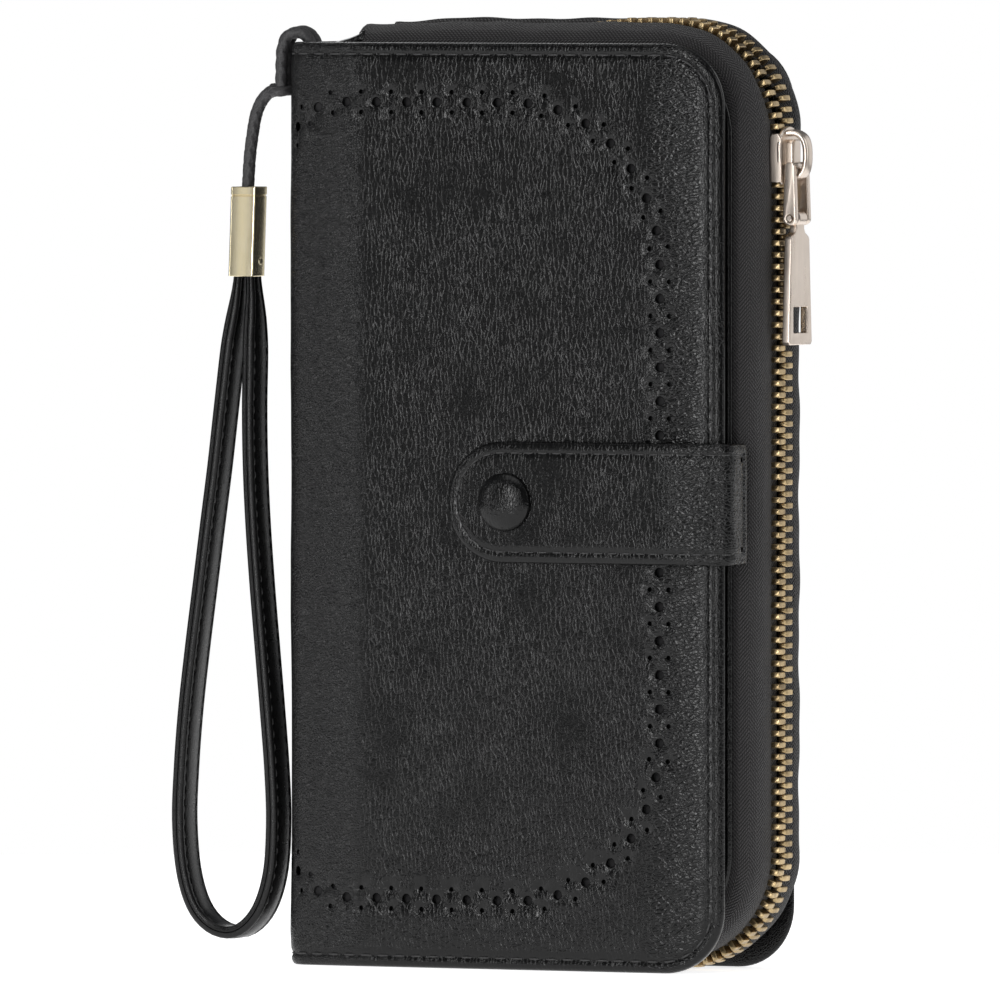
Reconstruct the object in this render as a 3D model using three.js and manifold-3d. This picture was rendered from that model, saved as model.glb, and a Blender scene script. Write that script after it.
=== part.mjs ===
// A zip-around long wallet with a snapped book cover and a hanging wrist strap, standing on its short end.
// Millimetres, +Z up, +X towards the zip side, -Y towards the front cover.
import * as THREE from "three";
import { mergeVertices } from "three/addons/utils/BufferGeometryUtils.js";
import Module from "manifold-3d";

const wasm = await Module();
wasm.setup();

// ---- driving dimensions ----
const GAP = 0.3; // clearance between touching sheets
const COVER_HEIGHT = 191;
const COVER_RIGHT = 50; // free edge of both covers
const COVER_CORNER = 13; // radius of a cover's two free corners
const SPINE_X = -51.6; // outer face of the spine
const FRONT_Y = -19.5; // outer face of the front cover
const LEATHER = 1.4; // a turned and glued leather sheet
const BOARD = 0.9; // stiffening board
const CLOTH = 0.5; // lining and card pocket sheets
const POCKET_STEP = 12; // how far each card pocket stops short of the one under it

const PANEL_Y = -13.4; // outer face of the pouch's front panel
const CREST_X = 55; // outermost line of the zip teeth
const CREST_HEIGHT = 196;
const CREST_LOW = 0.4; // the teeth clear the table by this much
const CREST_CORNER = 24; // radius of the zip line round a corner
const ZIP_START_X = -38; // where the zip line starts and ends, near the spine
const CHAIN_Y = 0.9; // middle plane of the zip
const TAPE_END = 12.6; // each tape reaches this far from the middle plane
const TEETH_DEPTH = 2.2;
const TEETH_HALF = 3; // half the width of the closed teeth
const TEETH_SPLIT = 0.5; // half the slot between the two rows of teeth
const TAPE = 0.9;
const PANEL_INSET = 5.6; // the panels stop this far inside the zip line

const TAB_Z = 96.5; // middle of the snap tab
const TAB_HALF = 12.5;
const TAB_LEFT = -11.5;
const TAB_LEATHER = 1.2;
const TAB_LINING = 1;
const TAB_END_Y = -16; // where the tab bends about the cover's edge
const TAB_INNER_X = 50.5;
const SNAP_X = 2;

const SLIDER_Z = 168;
const SLIDER_HALF = 6;
const SLIDER_PLATE = 0.8;
const BAIL_OUT = 4.4; // how far the bail stands out from the slider's plate
const BAIL_WIRE = 1.4;
const PIN_DROP = 10.5; // from the link's crossbar down to the pin

const STRAP_Y = -12; // plane in which the wrist strap hangs
const HITCH_Y = -9.6; // plane of the cord where it loops over the spine
const CORD = 2.6; // cord diameter
const STRAP_WIDTH = 7.4;
const STRAP_THICK = 2.4;
const CLAMP_X = -63;
const CLAMP_TOP = 161.8;
const CLAMP_HEIGHT = 18.6;

// ---- finishes ----
const finish = (color, roughness, metalness = 0) =>
  new THREE.MeshStandardMaterial({ color, roughness, metalness });
const blackLeather = finish(0x151517, 0.45);
const lining = finish(0x1d1c1e, 0.85);
const boardGrey = finish(0x55504a, 0.9);
const tapeCloth = finish(0x262427, 0.9);
const antiqueBrass = finish(0x8f7a4c, 0.35, 1);
const paleGold = finish(0xd8c48a, 0.22, 1);
const satinNickel = finish(0xb5a999, 0.3, 1);
const cordBlack = finish(0x19191b, 0.8);

// ---- helpers ----
const root = new THREE.Group();
const cordNodes = new Set();

function add(name, geometry, material) {
  const mesh = new THREE.Mesh(geometry, material);
  mesh.name = name;
  root.add(mesh);
  return mesh;
}

function solidOf(geometry) {
  const bare = geometry.clone();
  bare.deleteAttribute("normal");
  bare.deleteAttribute("uv");
  const merged = mergeVertices(bare, 1e-4);
  return new wasm.Manifold(
    new wasm.Mesh({
      numProp: 3,
      vertProperties: merged.attributes.position.array,
      triVerts: new Uint32Array(merged.index.array),
    }),
  );
}

function geometryOf(solid) {
  const made = solid.getMesh();
  const geometry = new THREE.BufferGeometry();
  geometry.setAttribute("position", new THREE.BufferAttribute(made.vertProperties, 3));
  geometry.setIndex(new THREE.BufferAttribute(made.triVerts, 1));
  return geometry;
}

const join = (...parts) => geometryOf(parts.map(solidOf).reduce((a, b) => a.add(b)));
const cut = (body, ...tools) =>
  geometryOf(tools.reduce((a, tool) => a.subtract(solidOf(tool)), solidOf(body)));
const overlapOf = (a, b) => geometryOf(solidOf(a).intersect(solidOf(b)));

function block(x0, x1, y0, y1, z0, z1) {
  const box = new THREE.BoxGeometry(x1 - x0, y1 - y0, z1 - z0);
  return box.translate((x0 + x1) / 2, (y0 + y1) / 2, (z0 + z1) / 2);
}

// An outline drawn in x and z, made solid from y0 to y1.
function sheet(outline, y0, y1) {
  const options = { depth: y1 - y0, bevelEnabled: false, curveSegments: 8 };
  return new THREE.ExtrudeGeometry(outline, options).rotateX(Math.PI / 2).translate(0, y1, 0);
}

// An outline drawn in x and y, made solid from z0 to z1.
function column(outline, z0, z1) {
  const options = { depth: z1 - z0, bevelEnabled: false, curveSegments: 8 };
  return new THREE.ExtrudeGeometry(outline, options).translate(0, 0, z0);
}

function disc(x, z, radius, y0, y1, sides = 20) {
  const round = new THREE.CylinderGeometry(radius, radius, y1 - y0, sides);
  return round.translate(x, (y0 + y1) / 2, z);
}

function polygon(...points) {
  return new THREE.Shape(points.map(([a, b]) => new THREE.Vector2(a, b)));
}

// A rectangle whose two right-hand corners are round.
function bookOutline(left, right, low, high, radius) {
  const shape = new THREE.Shape();
  shape.moveTo(left, low);
  shape.lineTo(right - radius, low);
  shape.absarc(right - radius, low + radius, radius, -Math.PI / 2, 0);
  shape.lineTo(right, high - radius);
  shape.absarc(right - radius, high - radius, radius, 0, Math.PI / 2);
  shape.lineTo(left, high);
  shape.closePath();
  return shape;
}

// ---- covers: outer leather, stiffening boards, lining and card pockets ----
function buildFrontCover() {
  let y = FRONT_Y;
  const layer = (name, thickness, outline, material, ...holes) => {
    const body = sheet(outline, y, y + thickness);
    add(name, holes.length ? cut(body, ...holes) : body, material);
    y += thickness + GAP;
  };
  const inner = bookOutline(-47, COVER_RIGHT - 2.5, 2, COVER_HEIGHT - 2, COVER_CORNER - 2.5);
  const leather = bookOutline(SPINE_X + 1.1, COVER_RIGHT, 0, COVER_HEIGHT, COVER_CORNER);
  layer("front_cover_leather", LEATHER, leather, blackLeather, disc(SNAP_X, TAB_Z, 1.6, -21, -17));
  layer("front_cover_board", BOARD, inner, boardGrey, disc(SNAP_X, TAB_Z, 4.2, -19, -16));
  layer("front_cover_lining", CLOTH, inner, lining);
  for (let pocket = 0; pocket < 3; pocket++) {
    const mouth = 34 - pocket * POCKET_STEP;
    layer("card_pocket_" + (pocket + 1), CLOTH, bookOutline(-45, mouth, 6, COVER_HEIGHT - 6, 1), lining);
  }
}

function buildBackCover() {
  const panelBack = CHAIN_Y + TAPE_END + GAP + LEATHER;
  const boardBack = panelBack + GAP + BOARD;
  const inner = bookOutline(-47, COVER_RIGHT - 2.5, 2, COVER_HEIGHT - 2, COVER_CORNER - 2.5);
  const outer = bookOutline(SPINE_X + 2, COVER_RIGHT, 0, COVER_HEIGHT, COVER_CORNER);
  add("back_cover_board", sheet(inner, panelBack + GAP, boardBack), boardGrey);
  add("back_cover_leather", sheet(outer, boardBack + GAP, boardBack + GAP + LEATHER), blackLeather);
  const spineFront = FRONT_Y + 2.4;
  const spine = block(SPINE_X, SPINE_X + LEATHER, spineFront, boardBack + LEATHER, 0, COVER_HEIGHT);
  add("spine_leather", spine, blackLeather);
  const stiffener = block(SPINE_X + LEATHER + GAP, SPINE_X + LEATHER + GAP + BOARD, -14, 14, 3, 186);
  add("spine_board", stiffener, boardGrey);
}

// ---- zip pouch ----
// The line that the zip teeth follow: along the top, down the free side and back along the bottom.
class ZipRoute extends THREE.Curve {
  constructor() {
    super();
    this.run = CREST_X - CREST_CORNER - ZIP_START_X;
    this.drop = CREST_HEIGHT - CREST_LOW - 2 * CREST_CORNER;
    this.bend = (Math.PI / 2) * CREST_CORNER;
  }
  getPoint(t, target = new THREE.Vector3()) {
    const total = 2 * this.run + this.drop + 2 * this.bend;
    const half = total / 2;
    const along = t * total;
    const fromStart = along > half ? total - along : along; // the lower half mirrors the upper
    const middle = (CREST_HEIGHT + CREST_LOW) / 2;
    let x = CREST_X;
    let rise = half - fromStart;
    if (fromStart < this.run) {
      x = ZIP_START_X + fromStart;
      rise = this.drop / 2 + CREST_CORNER;
    } else if (fromStart < this.run + this.bend) {
      const turned = (fromStart - this.run) / CREST_CORNER;
      x = CREST_X - CREST_CORNER * (1 - Math.sin(turned));
      rise = this.drop / 2 + CREST_CORNER * Math.cos(turned);
    }
    return target.set(x, CHAIN_Y, along > half ? middle - rise : middle + rise);
  }
}

// A section drawn as (depth inside the zip line, distance from the middle plane), swept along the zip.
function alongZip(section) {
  const options = { steps: 64, bevelEnabled: false, extrudePath: new ZipRoute() };
  return new THREE.ExtrudeGeometry(polygon(...section), options);
}

function buildZip() {
  const under = TEETH_DEPTH + GAP;
  for (const [side, sign] of [["front", -1], ["back", 1]]) {
    const mirrored = (section) => section.map(([depth, off]) => [depth, sign * off]);
    const tooth = mirrored([[0, TEETH_SPLIT], [0, TEETH_HALF], [TEETH_DEPTH, TEETH_HALF], [TEETH_DEPTH, TEETH_SPLIT]]);
    add("zip_teeth_" + side, alongZip(tooth), antiqueBrass);
    const tape = mirrored([
      [under, TEETH_SPLIT + 0.1],
      [under, TEETH_HALF],
      [PANEL_INSET + 0.6, TAPE_END],
      [PANEL_INSET + 0.6 + TAPE, TAPE_END],
      [under + TAPE, TEETH_HALF],
      [under + TAPE, TEETH_SPLIT + 0.1],
    ]);
    add("zip_tape_" + side, alongZip(tape), tapeCloth);
  }
  const capFront = CHAIN_Y - TAPE_END;
  const capBack = CHAIN_Y + TAPE_END;
  const capX = ZIP_START_X - GAP;
  const top = block(-43, capX, capFront, capBack, CREST_HEIGHT - 7.4, CREST_HEIGHT - 4.4);
  const low = block(-43, capX, capFront, capBack, CREST_LOW + 4.4, CREST_LOW + 7.4);
  add("zip_end_cap_top", top, blackLeather);
  add("zip_end_cap_bottom", low, blackLeather);
}

function buildPouch() {
  const inset = PANEL_INSET;
  const outline = bookOutline(
    -46, CREST_X - inset, CREST_LOW + inset, CREST_HEIGHT - inset, CREST_CORNER - inset,
  );
  const backFace = CHAIN_Y + TAPE_END + GAP;
  add("pouch_front_panel", sheet(outline, PANEL_Y, PANEL_Y + LEATHER), blackLeather);
  add("pouch_back_panel", sheet(outline, backFace, backFace + LEATHER), blackLeather);
  const gusset = block(-44.5, -43.5, CHAIN_Y - TAPE_END, backFace - GAP, 8.5, 188);
  add("pouch_spine_gusset", gusset, blackLeather);
  const leaf = bookOutline(-43, CREST_X - 11, 12, COVER_HEIGHT - 8, 16);
  add("pouch_divider_front", sheet(leaf, CHAIN_Y - 1.6, CHAIN_Y - 0.8), lining);
  add("pouch_divider_back", sheet(leaf, CHAIN_Y + 0.8, CHAIN_Y + 1.6), lining);
}

// ---- zip slider, its bail, and the two-piece pull ----
const PLATE_X = CREST_X + GAP + SLIDER_PLATE; // outer face of the slider's plate
const CROSSBAR_X = PLATE_X + 1.5;
const CROSSBAR_Z = SLIDER_Z - 2.5;
const PIN_Z = CROSSBAR_Z - PIN_DROP;

function buildSlider() {
  const y = (off) => CHAIN_Y + off;
  const low = SLIDER_Z - SLIDER_HALF;
  const high = SLIDER_Z + SLIDER_HALF;
  const innerX = CREST_X - TEETH_DEPTH - GAP - TAPE - GAP;
  const shoulder = 4.6;
  const foot = 4;
  const plate = new THREE.ExtrudeGeometry(
    polygon([y(-foot), low], [y(foot), low], [y(shoulder), SLIDER_Z], [y(shoulder), high - 2],
      [y(2.4), high], [y(-2.4), high], [y(-shoulder), high - 2], [y(-shoulder), SLIDER_Z]),
    { depth: SLIDER_PLATE, bevelEnabled: false },
  );
  plate.applyMatrix4(new THREE.Matrix4().set(0, 0, 1, CREST_X + GAP, 1, 0, 0, 0, 0, 1, 0, 0, 0, 0, 0, 1));
  const flange = (sign) => {
    const a = y(sign * (TEETH_HALF + GAP));
    const b = y(sign * foot);
    return block(CREST_X - 1.2, CREST_X + 0.5, Math.min(a, b), Math.max(a, b), low, high - 2);
  };
  const neck = block(innerX - 0.5, CREST_X + 0.6, y(-0.2), y(0.2), high - 6, high - 2);
  const inner = block(innerX - 1, innerX, y(-2.6), y(2.6), low, high - 1);
  add("slider_body", join(plate, flange(-1), flange(1), neck, inner), satinNickel);

  const loop = (out, half) => {
    const shape = new THREE.Shape();
    shape.moveTo(0, -half);
    shape.bezierCurveTo(out * 0.9, -half, out, -half * 0.7, out, 0);
    shape.bezierCurveTo(out, half * 0.7, out * 0.9, half, 0, half);
    shape.closePath();
    return shape;
  };
  const bail = loop(BAIL_OUT, 5.2);
  bail.holes.push(new THREE.Path(loop(BAIL_OUT - BAIL_WIRE, 5.2 - BAIL_WIRE).getPoints(6).map(
    (p) => new THREE.Vector2(p.x + 0.5, p.y),
  )));
  const bailSolid = sheet(bail, CHAIN_Y - 1.5, CHAIN_Y + 1.5).translate(PLATE_X + GAP, 0, SLIDER_Z);
  add("slider_bail", bailSolid, satinNickel);
}

function buildPull() {
  const arm = (sign) => {
    const a = CHAIN_Y + sign * 2.2;
    const b = CHAIN_Y + sign * 3.7;
    const y0 = Math.min(a, b);
    const y1 = Math.max(a, b);
    const bar = block(CROSSBAR_X - 1.2, CROSSBAR_X + 1.2, y0, y1, PIN_Z - 1.6, CROSSBAR_Z + 0.9);
    return cut(bar, disc(CROSSBAR_X, PIN_Z, 1.0, y0 - 1, y1 + 1, 12));
  };
  const crossbar = disc(CROSSBAR_X, CROSSBAR_Z, 0.7, CHAIN_Y - 2.4, CHAIN_Y + 2.4, 12);
  add("pull_link", join(arm(-1), arm(1), crossbar), satinNickel);
  add("pull_pin", disc(CROSSBAR_X, PIN_Z, 0.7, CHAIN_Y - 3.9, CHAIN_Y + 3.9, 12), satinNickel);

  const blade = polygon(
    [-1.9, 1.7], [-1.9, -2.2], [-4, -4], [-5, -26], [5, -26], [4, -4], [1.9, -2.2], [1.9, 1.7],
  );
  blade.holes.push(new THREE.Path([[-3.1, -18.2], [-3.1, -23.4], [3.1, -23.4], [3.1, -18.2]].map(
    ([a, b]) => new THREE.Vector2(a, b),
  )));
  const tab = new THREE.ExtrudeGeometry(blade, { depth: 1.8, bevelEnabled: false });
  tab.applyMatrix4(new THREE.Matrix4().set(
    0, 0, 1, CROSSBAR_X - 0.9, 1, 0, 0, CHAIN_Y, 0, 1, 0, PIN_Z, 0, 0, 0, 1,
  ));
  const pinHole = disc(CROSSBAR_X, PIN_Z, 0.85, CHAIN_Y - 3, CHAIN_Y + 3, 12);
  const knuckle = disc(CROSSBAR_X, PIN_Z, 1.7, CHAIN_Y - 1.9, CHAIN_Y + 1.9, 14);
  add("pull_tab", cut(join(tab, knuckle), pinHole), satinNickel);
}

// ---- snap tab: it wraps the covers' free edge and snaps on the front ----
function tabSheet(inside, thickness, left) {
  const front = FRONT_Y - inside - thickness;
  const side = TAB_INNER_X + inside - GAP;
  const bend = column(
    polygon([left - 30, front], [side + thickness, front], [side + thickness, TAB_END_Y], [side, TAB_END_Y],
      [side, front + thickness], [left - 30, front + thickness]),
    TAB_Z - TAB_HALF - 5, TAB_Z + TAB_HALF + 5,
  );
  const half = TAB_HALF - (left - TAB_LEFT);
  const outline = new THREE.Shape();
  outline.moveTo(60, TAB_Z + half);
  outline.lineTo(left + half, TAB_Z + half);
  outline.absarc(left + half, TAB_Z, half, Math.PI / 2, (3 * Math.PI) / 2);
  outline.lineTo(60, TAB_Z - half);
  outline.closePath();
  return overlapOf(bend, sheet(outline, -40, 0));
}

function buildTab() {
  const liningInside = GAP;
  const leatherInside = liningInside + TAB_LINING + GAP;
  const capHole = disc(SNAP_X, TAB_Z, 1.6, -30, FRONT_Y);
  const socketHole = disc(SNAP_X, TAB_Z, 4.1, -30, FRONT_Y);
  add("tab_leather", cut(tabSheet(leatherInside, TAB_LEATHER, TAB_LEFT), capHole), blackLeather);
  add("tab_lining", cut(tabSheet(liningInside, TAB_LINING, TAB_LEFT + 0.8), socketHole), lining);
  const rootStart = TAB_END_Y + 1.5;
  const tabRoot = block(TAB_INNER_X, TAB_INNER_X + 2.2, rootStart, -12.2, TAB_Z - TAB_HALF, TAB_Z + TAB_HALF);
  add("tab_root", tabRoot, blackLeather);
}

// A turned piece about the snap's axis; each point is a radius and a depth along +Y.
function turned(points, sides = 24) {
  const profile = points.map(([radius, depth]) => new THREE.Vector2(radius, depth));
  return new THREE.LatheGeometry(profile, sides).translate(SNAP_X, 0, TAB_Z);
}

function buildSnap() {
  const tabFront = FRONT_Y - 2 * GAP - TAB_LINING - TAB_LEATHER;
  const capBase = tabFront - GAP;
  add("snap_cap", turned([
    [0, capBase - 2.6], [2.4, capBase - 2.4], [4.4, capBase - 1.8], [5.6, capBase - 0.9], [5.9, capBase],
    [1.2, capBase], [1.2, capBase + 1.7], [0, capBase + 1.7],
  ]), blackLeather);
  const socketBack = FRONT_Y - GAP;
  const socketFront = socketBack - TAB_LINING;
  add("snap_socket", turned([
    [2.75, socketFront], [3.8, socketFront], [3.8, socketBack], [2.75, socketBack], [2.75, socketFront],
  ]), antiqueBrass);
  add("snap_stud", turned([
    [0, socketFront + 0.3], [2.0, socketFront + 0.3], [2.4, socketFront + 0.6], [2.0, socketBack],
    [1.2, socketBack], [1.2, FRONT_Y + LEATHER + GAP],
    [3.6, FRONT_Y + LEATHER + GAP], [3.6, FRONT_Y + LEATHER + GAP + 0.7], [0, FRONT_Y + LEATHER + GAP + 0.7],
  ]), antiqueBrass);
}

// ---- wristlet: a short braided cord, a metal clamp and a leather strap loop ----
const HITCH_ROUTE = [[-47.2, 186], [-47.4, 190], [-48.8, 192.4], [-50.8, 193], [-53, 192.2], [-54, 189.5], [-54, 179.5]];
const CORD_ROUTE = [
  [-57.2, 180.7], [-57.9, 180.4], [-58.7, 179.8], [-59.5, 178.9], [-60.2, 177.8], [-60.9, 176.2], [-61.4, 174.3],
  [-61.8, 172], [-62.2, 169.5], [-62.5, 167], [-62.7, 164.5], [-62.85, 162], [-63, 159.5], [-63, 156.5], [-63, 153],
  [-63, 149],
];
const STRAP_ROUTE = [
  [-61.6, 142.8], [-61.3, 136], [-61.2, 126], [-61.4, 115], [-61.2, 103], [-60.6, 91], [-59.6, 78], [-58.4, 65],
  [-57.2, 52], [-56.2, 40], [-55.8, 29], [-56.6, 18.5], [-59.4, 10.8], [-64.1, 6.6], [-69.5, 6.9], [-74.1, 11],
  [-76.8, 18.5], [-77.8, 29], [-77.4, 40], [-76.4, 52], [-74.8, 65], [-73, 78], [-71.2, 91], [-69.5, 103],
  [-68, 115], [-66.6, 126], [-65.2, 136], [-64.5, 142.8],
];

function alongRoute(route, y, section, steps) {
  const path = new THREE.CatmullRomCurve3(route.map(([x, z]) => new THREE.Vector3(x, y, z)));
  return new THREE.ExtrudeGeometry(polygon(...section), { steps, bevelEnabled: false, extrudePath: path });
}

function ring(across, along, sides) {
  return Array.from({ length: sides }, (_, i) => {
    const turn = ((i + 0.5) / sides) * 2 * Math.PI;
    return [(across / 2) * Math.cos(turn), (along / 2) * Math.sin(turn)];
  });
}

function buildWristlet() {
  const rod = ring(CORD, CORD, 8);
  add("cord_hitch", alongRoute(HITCH_ROUTE, HITCH_Y, ring(CORD * 1.7, CORD, 8), 12), cordBlack);
  add("wrist_cord", alongRoute(CORD_ROUTE, STRAP_Y, rod, 12), cordBlack);
  const halfX = 3;
  const halfY = 2.7;
  const wall = 0.8;
  const low = CLAMP_TOP - CLAMP_HEIGHT;
  const clamp = cut(
    block(CLAMP_X - halfX, CLAMP_X + halfX, STRAP_Y - halfY, STRAP_Y + halfY, low, CLAMP_TOP),
    block(CLAMP_X - halfX + wall, CLAMP_X + halfX - wall, STRAP_Y - halfY + wall, STRAP_Y + halfY - wall,
      low - 1, CLAMP_TOP + 1),
  );
  add("cord_clamp", clamp, paleGold);
  const strapSection = [
    [-STRAP_WIDTH / 2, -STRAP_THICK / 2], [STRAP_WIDTH / 2, -STRAP_THICK / 2],
    [STRAP_WIDTH / 2, STRAP_THICK / 2], [-STRAP_WIDTH / 2, STRAP_THICK / 2],
  ];
  add("wrist_strap", alongRoute(STRAP_ROUTE, STRAP_Y, strapSection, 60), blackLeather);
  add("cord_anchor", block(-45.9, -44.8, -11.6, -5, 176, 188), blackLeather);
  for (const name of ["cord_hitch", "wrist_cord", "cord_clamp", "wrist_strap"]) cordNodes.add(name);
}

buildFrontCover();
buildBackCover();
buildZip();
buildPouch();
buildSlider();
buildPull();
buildTab();
buildSnap();
buildWristlet();

// The origin is the middle of the base, measured without the hanging wristlet.
const bounds = new THREE.Box3();
for (const mesh of root.children) if (!cordNodes.has(mesh.name)) bounds.expandByObject(mesh, true);
const middle = bounds.getCenter(new THREE.Vector3());
root.position.set(-middle.x, -middle.y, -bounds.min.z);

export default root;
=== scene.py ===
import math

import bmesh
import bpy
import numpy as np
from mathutils import Matrix, Vector, geometry, noise


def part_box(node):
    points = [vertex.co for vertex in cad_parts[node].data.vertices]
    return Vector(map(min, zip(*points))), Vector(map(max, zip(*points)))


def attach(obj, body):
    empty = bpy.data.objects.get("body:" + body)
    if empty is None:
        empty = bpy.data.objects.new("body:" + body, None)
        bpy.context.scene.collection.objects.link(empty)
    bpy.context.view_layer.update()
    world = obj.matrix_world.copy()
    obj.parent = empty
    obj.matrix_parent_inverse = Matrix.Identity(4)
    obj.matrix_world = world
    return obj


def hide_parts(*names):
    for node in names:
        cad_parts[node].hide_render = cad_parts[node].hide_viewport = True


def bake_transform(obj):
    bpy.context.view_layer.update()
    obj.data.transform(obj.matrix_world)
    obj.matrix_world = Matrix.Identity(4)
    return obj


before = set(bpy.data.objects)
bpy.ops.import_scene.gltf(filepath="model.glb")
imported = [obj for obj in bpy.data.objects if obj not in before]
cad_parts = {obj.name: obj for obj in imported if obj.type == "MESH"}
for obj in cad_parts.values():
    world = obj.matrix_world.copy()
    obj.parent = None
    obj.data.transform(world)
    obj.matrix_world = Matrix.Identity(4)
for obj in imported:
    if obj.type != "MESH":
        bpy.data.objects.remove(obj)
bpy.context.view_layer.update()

# A zip-around long wallet with a snapped book cover and a hanging wrist strap.
# Shapes are drawn in the wallet's own millimetres and placed in the frame, in metres, by place().
MM = 0.001

# ---- the wallet's drawing, in mm: the same driving dimensions as the CAD parts ----
COVER_HEIGHT = 191.0
COVER_CORNER = 13.0
SPINE_X = -51.6
FRONT_Y = -19.5
BACK_Y = 18.1
FOLD_RADIUS = 5.0
PANEL_Y = -13.4
PANEL_BACK_Y = 15.2
PANEL_LEATHER = 1.4
CREST_X = 55.0
CREST_HEIGHT = 196.0
CREST_LOW = 0.4
CREST_CORNER = 24.0
ZIP_START_X = -38.0
CHAIN_Y = 0.9
TOOTH_PITCH = 2.4
TAPE_END = 12.6
PANEL_INSET = 5.6
TAB_Z = 96.5
TAB_HALF = 12.5
TAB_LEFT = -11.5
TAB_FRONT_Y = -22.3
TAB_SIDE_X = 53.1
TAB_ROOT_Y = -12.2
SNAP_X = 2.0
SLIDER_Z = 168.0
PLATE_X = 56.1
CROSSBAR_X = 57.6
CROSSBAR_Z = 165.5
PIN_Z = 155.0
STRAP_Y = -12.0
CORD = 2.6
CLAMP_X = -63.0
CLAMP_TOP = 160.9
CLAMP_HEIGHT = 18.6

SHIFT = Vector((
    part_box("spine_leather")[0].x - SPINE_X * MM,
    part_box("front_cover_leather")[0].y - FRONT_Y * MM,
    0.0,
))


def place(x, y, z):
    """A point of the drawing, in the frame."""
    return Vector((x * MM, y * MM, z * MM)) + SHIFT


def smooth(t):
    t = min(max(t, 0.0), 1.0)
    return t * t * (3 - 2 * t)


def add_object(name, data):
    """A new object in the scene."""
    made = bpy.data.objects.new(name, data)
    bpy.context.scene.collection.objects.link(made)
    return made


def circle(radius, sides, centre=(0.0, 0.0)):
    """Points round a circle."""
    angles = [2 * math.pi * k / sides for k in range(sides)]
    return [(centre[0] + radius * math.cos(a), centre[1] + radius * math.sin(a)) for a in angles]


def squared(angle, power):
    """Cosine and sine of a rounded square: a lower power has squarer corners."""
    return [math.copysign(abs(v) ** power, v) for v in (math.cos(angle), math.sin(angle))]


def ring_quads(first, rings, sides):
    """Faces between neighbouring rings of points that are numbered on from first."""
    return [
        (a + k, a + n, a + sides + n, a + sides + k)
        for a in range(first, first + (rings - 1) * sides, sides)
        for k, n in zip(range(sides), [*range(1, sides), 0])
    ]


def ring_cap(first, sides):
    return tuple(range(first, first + sides))


def run_along(points):
    """The distance along a line of points, at each of them."""
    run = [0.0]
    for a, b in zip(points, points[1:]):
        run.append(run[-1] + (Vector(b) - Vector(a)).length)
    return run


def look_along(made, back):
    """Turns a camera or light so that back points away from what it looks at."""
    made.rotation_mode = "QUATERNION"
    made.rotation_quaternion = (-back).to_track_quat("-Z", "Y")


def direction(azimuth, elevation):
    """From the wallet out, at angles in degrees: azimuth 0 is straight in front of the cover."""
    a, e = math.radians(azimuth), math.radians(elevation)
    return Vector((math.sin(a) * math.cos(e), -math.cos(a) * math.cos(e), math.sin(e)))


# ---------------------------------------------------------------- camera
CAMERA_AZIMUTH = 27.0
CAMERA_ELEVATION = 1.6
CAMERA_DISTANCE = 5.0
VIEW_WIDTH = 206.6  # mm, what the frame spans at the wallet's middle
VIEW_HEIGHT_Z = 96.4  # mm, the height that the camera looks at
VIEW_RIGHT = -9.3  # mm, how far to the right of the wallet's origin it looks
SENSOR = 36.0


def make_camera():
    azimuth = math.radians(CAMERA_AZIMUTH)
    right = Vector((math.cos(azimuth), math.sin(azimuth), 0))
    back = direction(CAMERA_AZIMUTH, CAMERA_ELEVATION)
    data = bpy.data.cameras.new("camera")
    data.sensor_width = SENSOR
    data.lens = SENSOR * CAMERA_DISTANCE / (VIEW_WIDTH * MM)
    data.clip_start = 0.05
    data.clip_end = 60.0
    camera = add_object("camera", data)
    camera.location = place(0, 0, VIEW_HEIGHT_Z) + right * (VIEW_RIGHT * MM) + back * CAMERA_DISTANCE
    look_along(camera, back)
    bpy.context.scene.camera = camera


make_camera()


# ---------------------------------------------------------------- mesh helpers
def make_piece(name, points, faces, corner_uv=None, smooth_faces=True):
    """A mesh from points in mm; corner_uv gives each face's corners a place on the flat sheet, in metres."""
    mesh = bpy.data.meshes.new(name)
    mesh.from_pydata([place(*p) for p in points], [], faces)
    if corner_uv is not None:
        layer = mesh.uv_layers.new(name="flat")
        flat = [c for face in corner_uv for c in face]
        layer.data.foreach_set("uv", np.array(flat, np.float32).ravel())
    work = bmesh.new()
    work.from_mesh(mesh)
    bmesh.ops.remove_doubles(work, verts=work.verts, dist=0.002 * MM)
    bmesh.ops.recalc_face_normals(work, faces=work.faces)
    work.to_mesh(mesh)
    work.free()
    mesh.polygons.foreach_set("use_smooth", [smooth_faces] * len(mesh.polygons))
    return add_object(name, mesh)


def sweep(rings, closed_path=False):
    """Points, faces and corner UVs of a tube through rings of points, with flat caps if the path is open."""
    count, sides = len(rings), len(rings[0])
    points = [p for ring in rings for p in ring]
    along = [d * MM for d in run_along([np.mean(ring, axis=0) for ring in rings])]
    middle = rings[count // 2]
    around = [d * MM for d in run_along([*middle, middle[0]])]
    faces, uvs = [], []
    last = count if closed_path else count - 1
    for i in range(last):
        j = (i + 1) % count
        u0, u1 = along[i], along[j] if j else along[i] + (along[1] - along[0])
        for k in range(sides):
            n = (k + 1) % sides
            faces.append((i * sides + k, i * sides + n, j * sides + n, j * sides + k))
            uvs.append([(u0, around[k]), (u0, around[k + 1]), (u1, around[k + 1]), (u1, around[k])])
    if not closed_path:
        for i, u in ((0, along[0]), (count - 1, along[-1])):
            faces.append(ring_cap(i * sides, sides))
            uvs.append([(u, around[k]) for k in range(sides)])
    return points, faces, uvs


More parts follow.
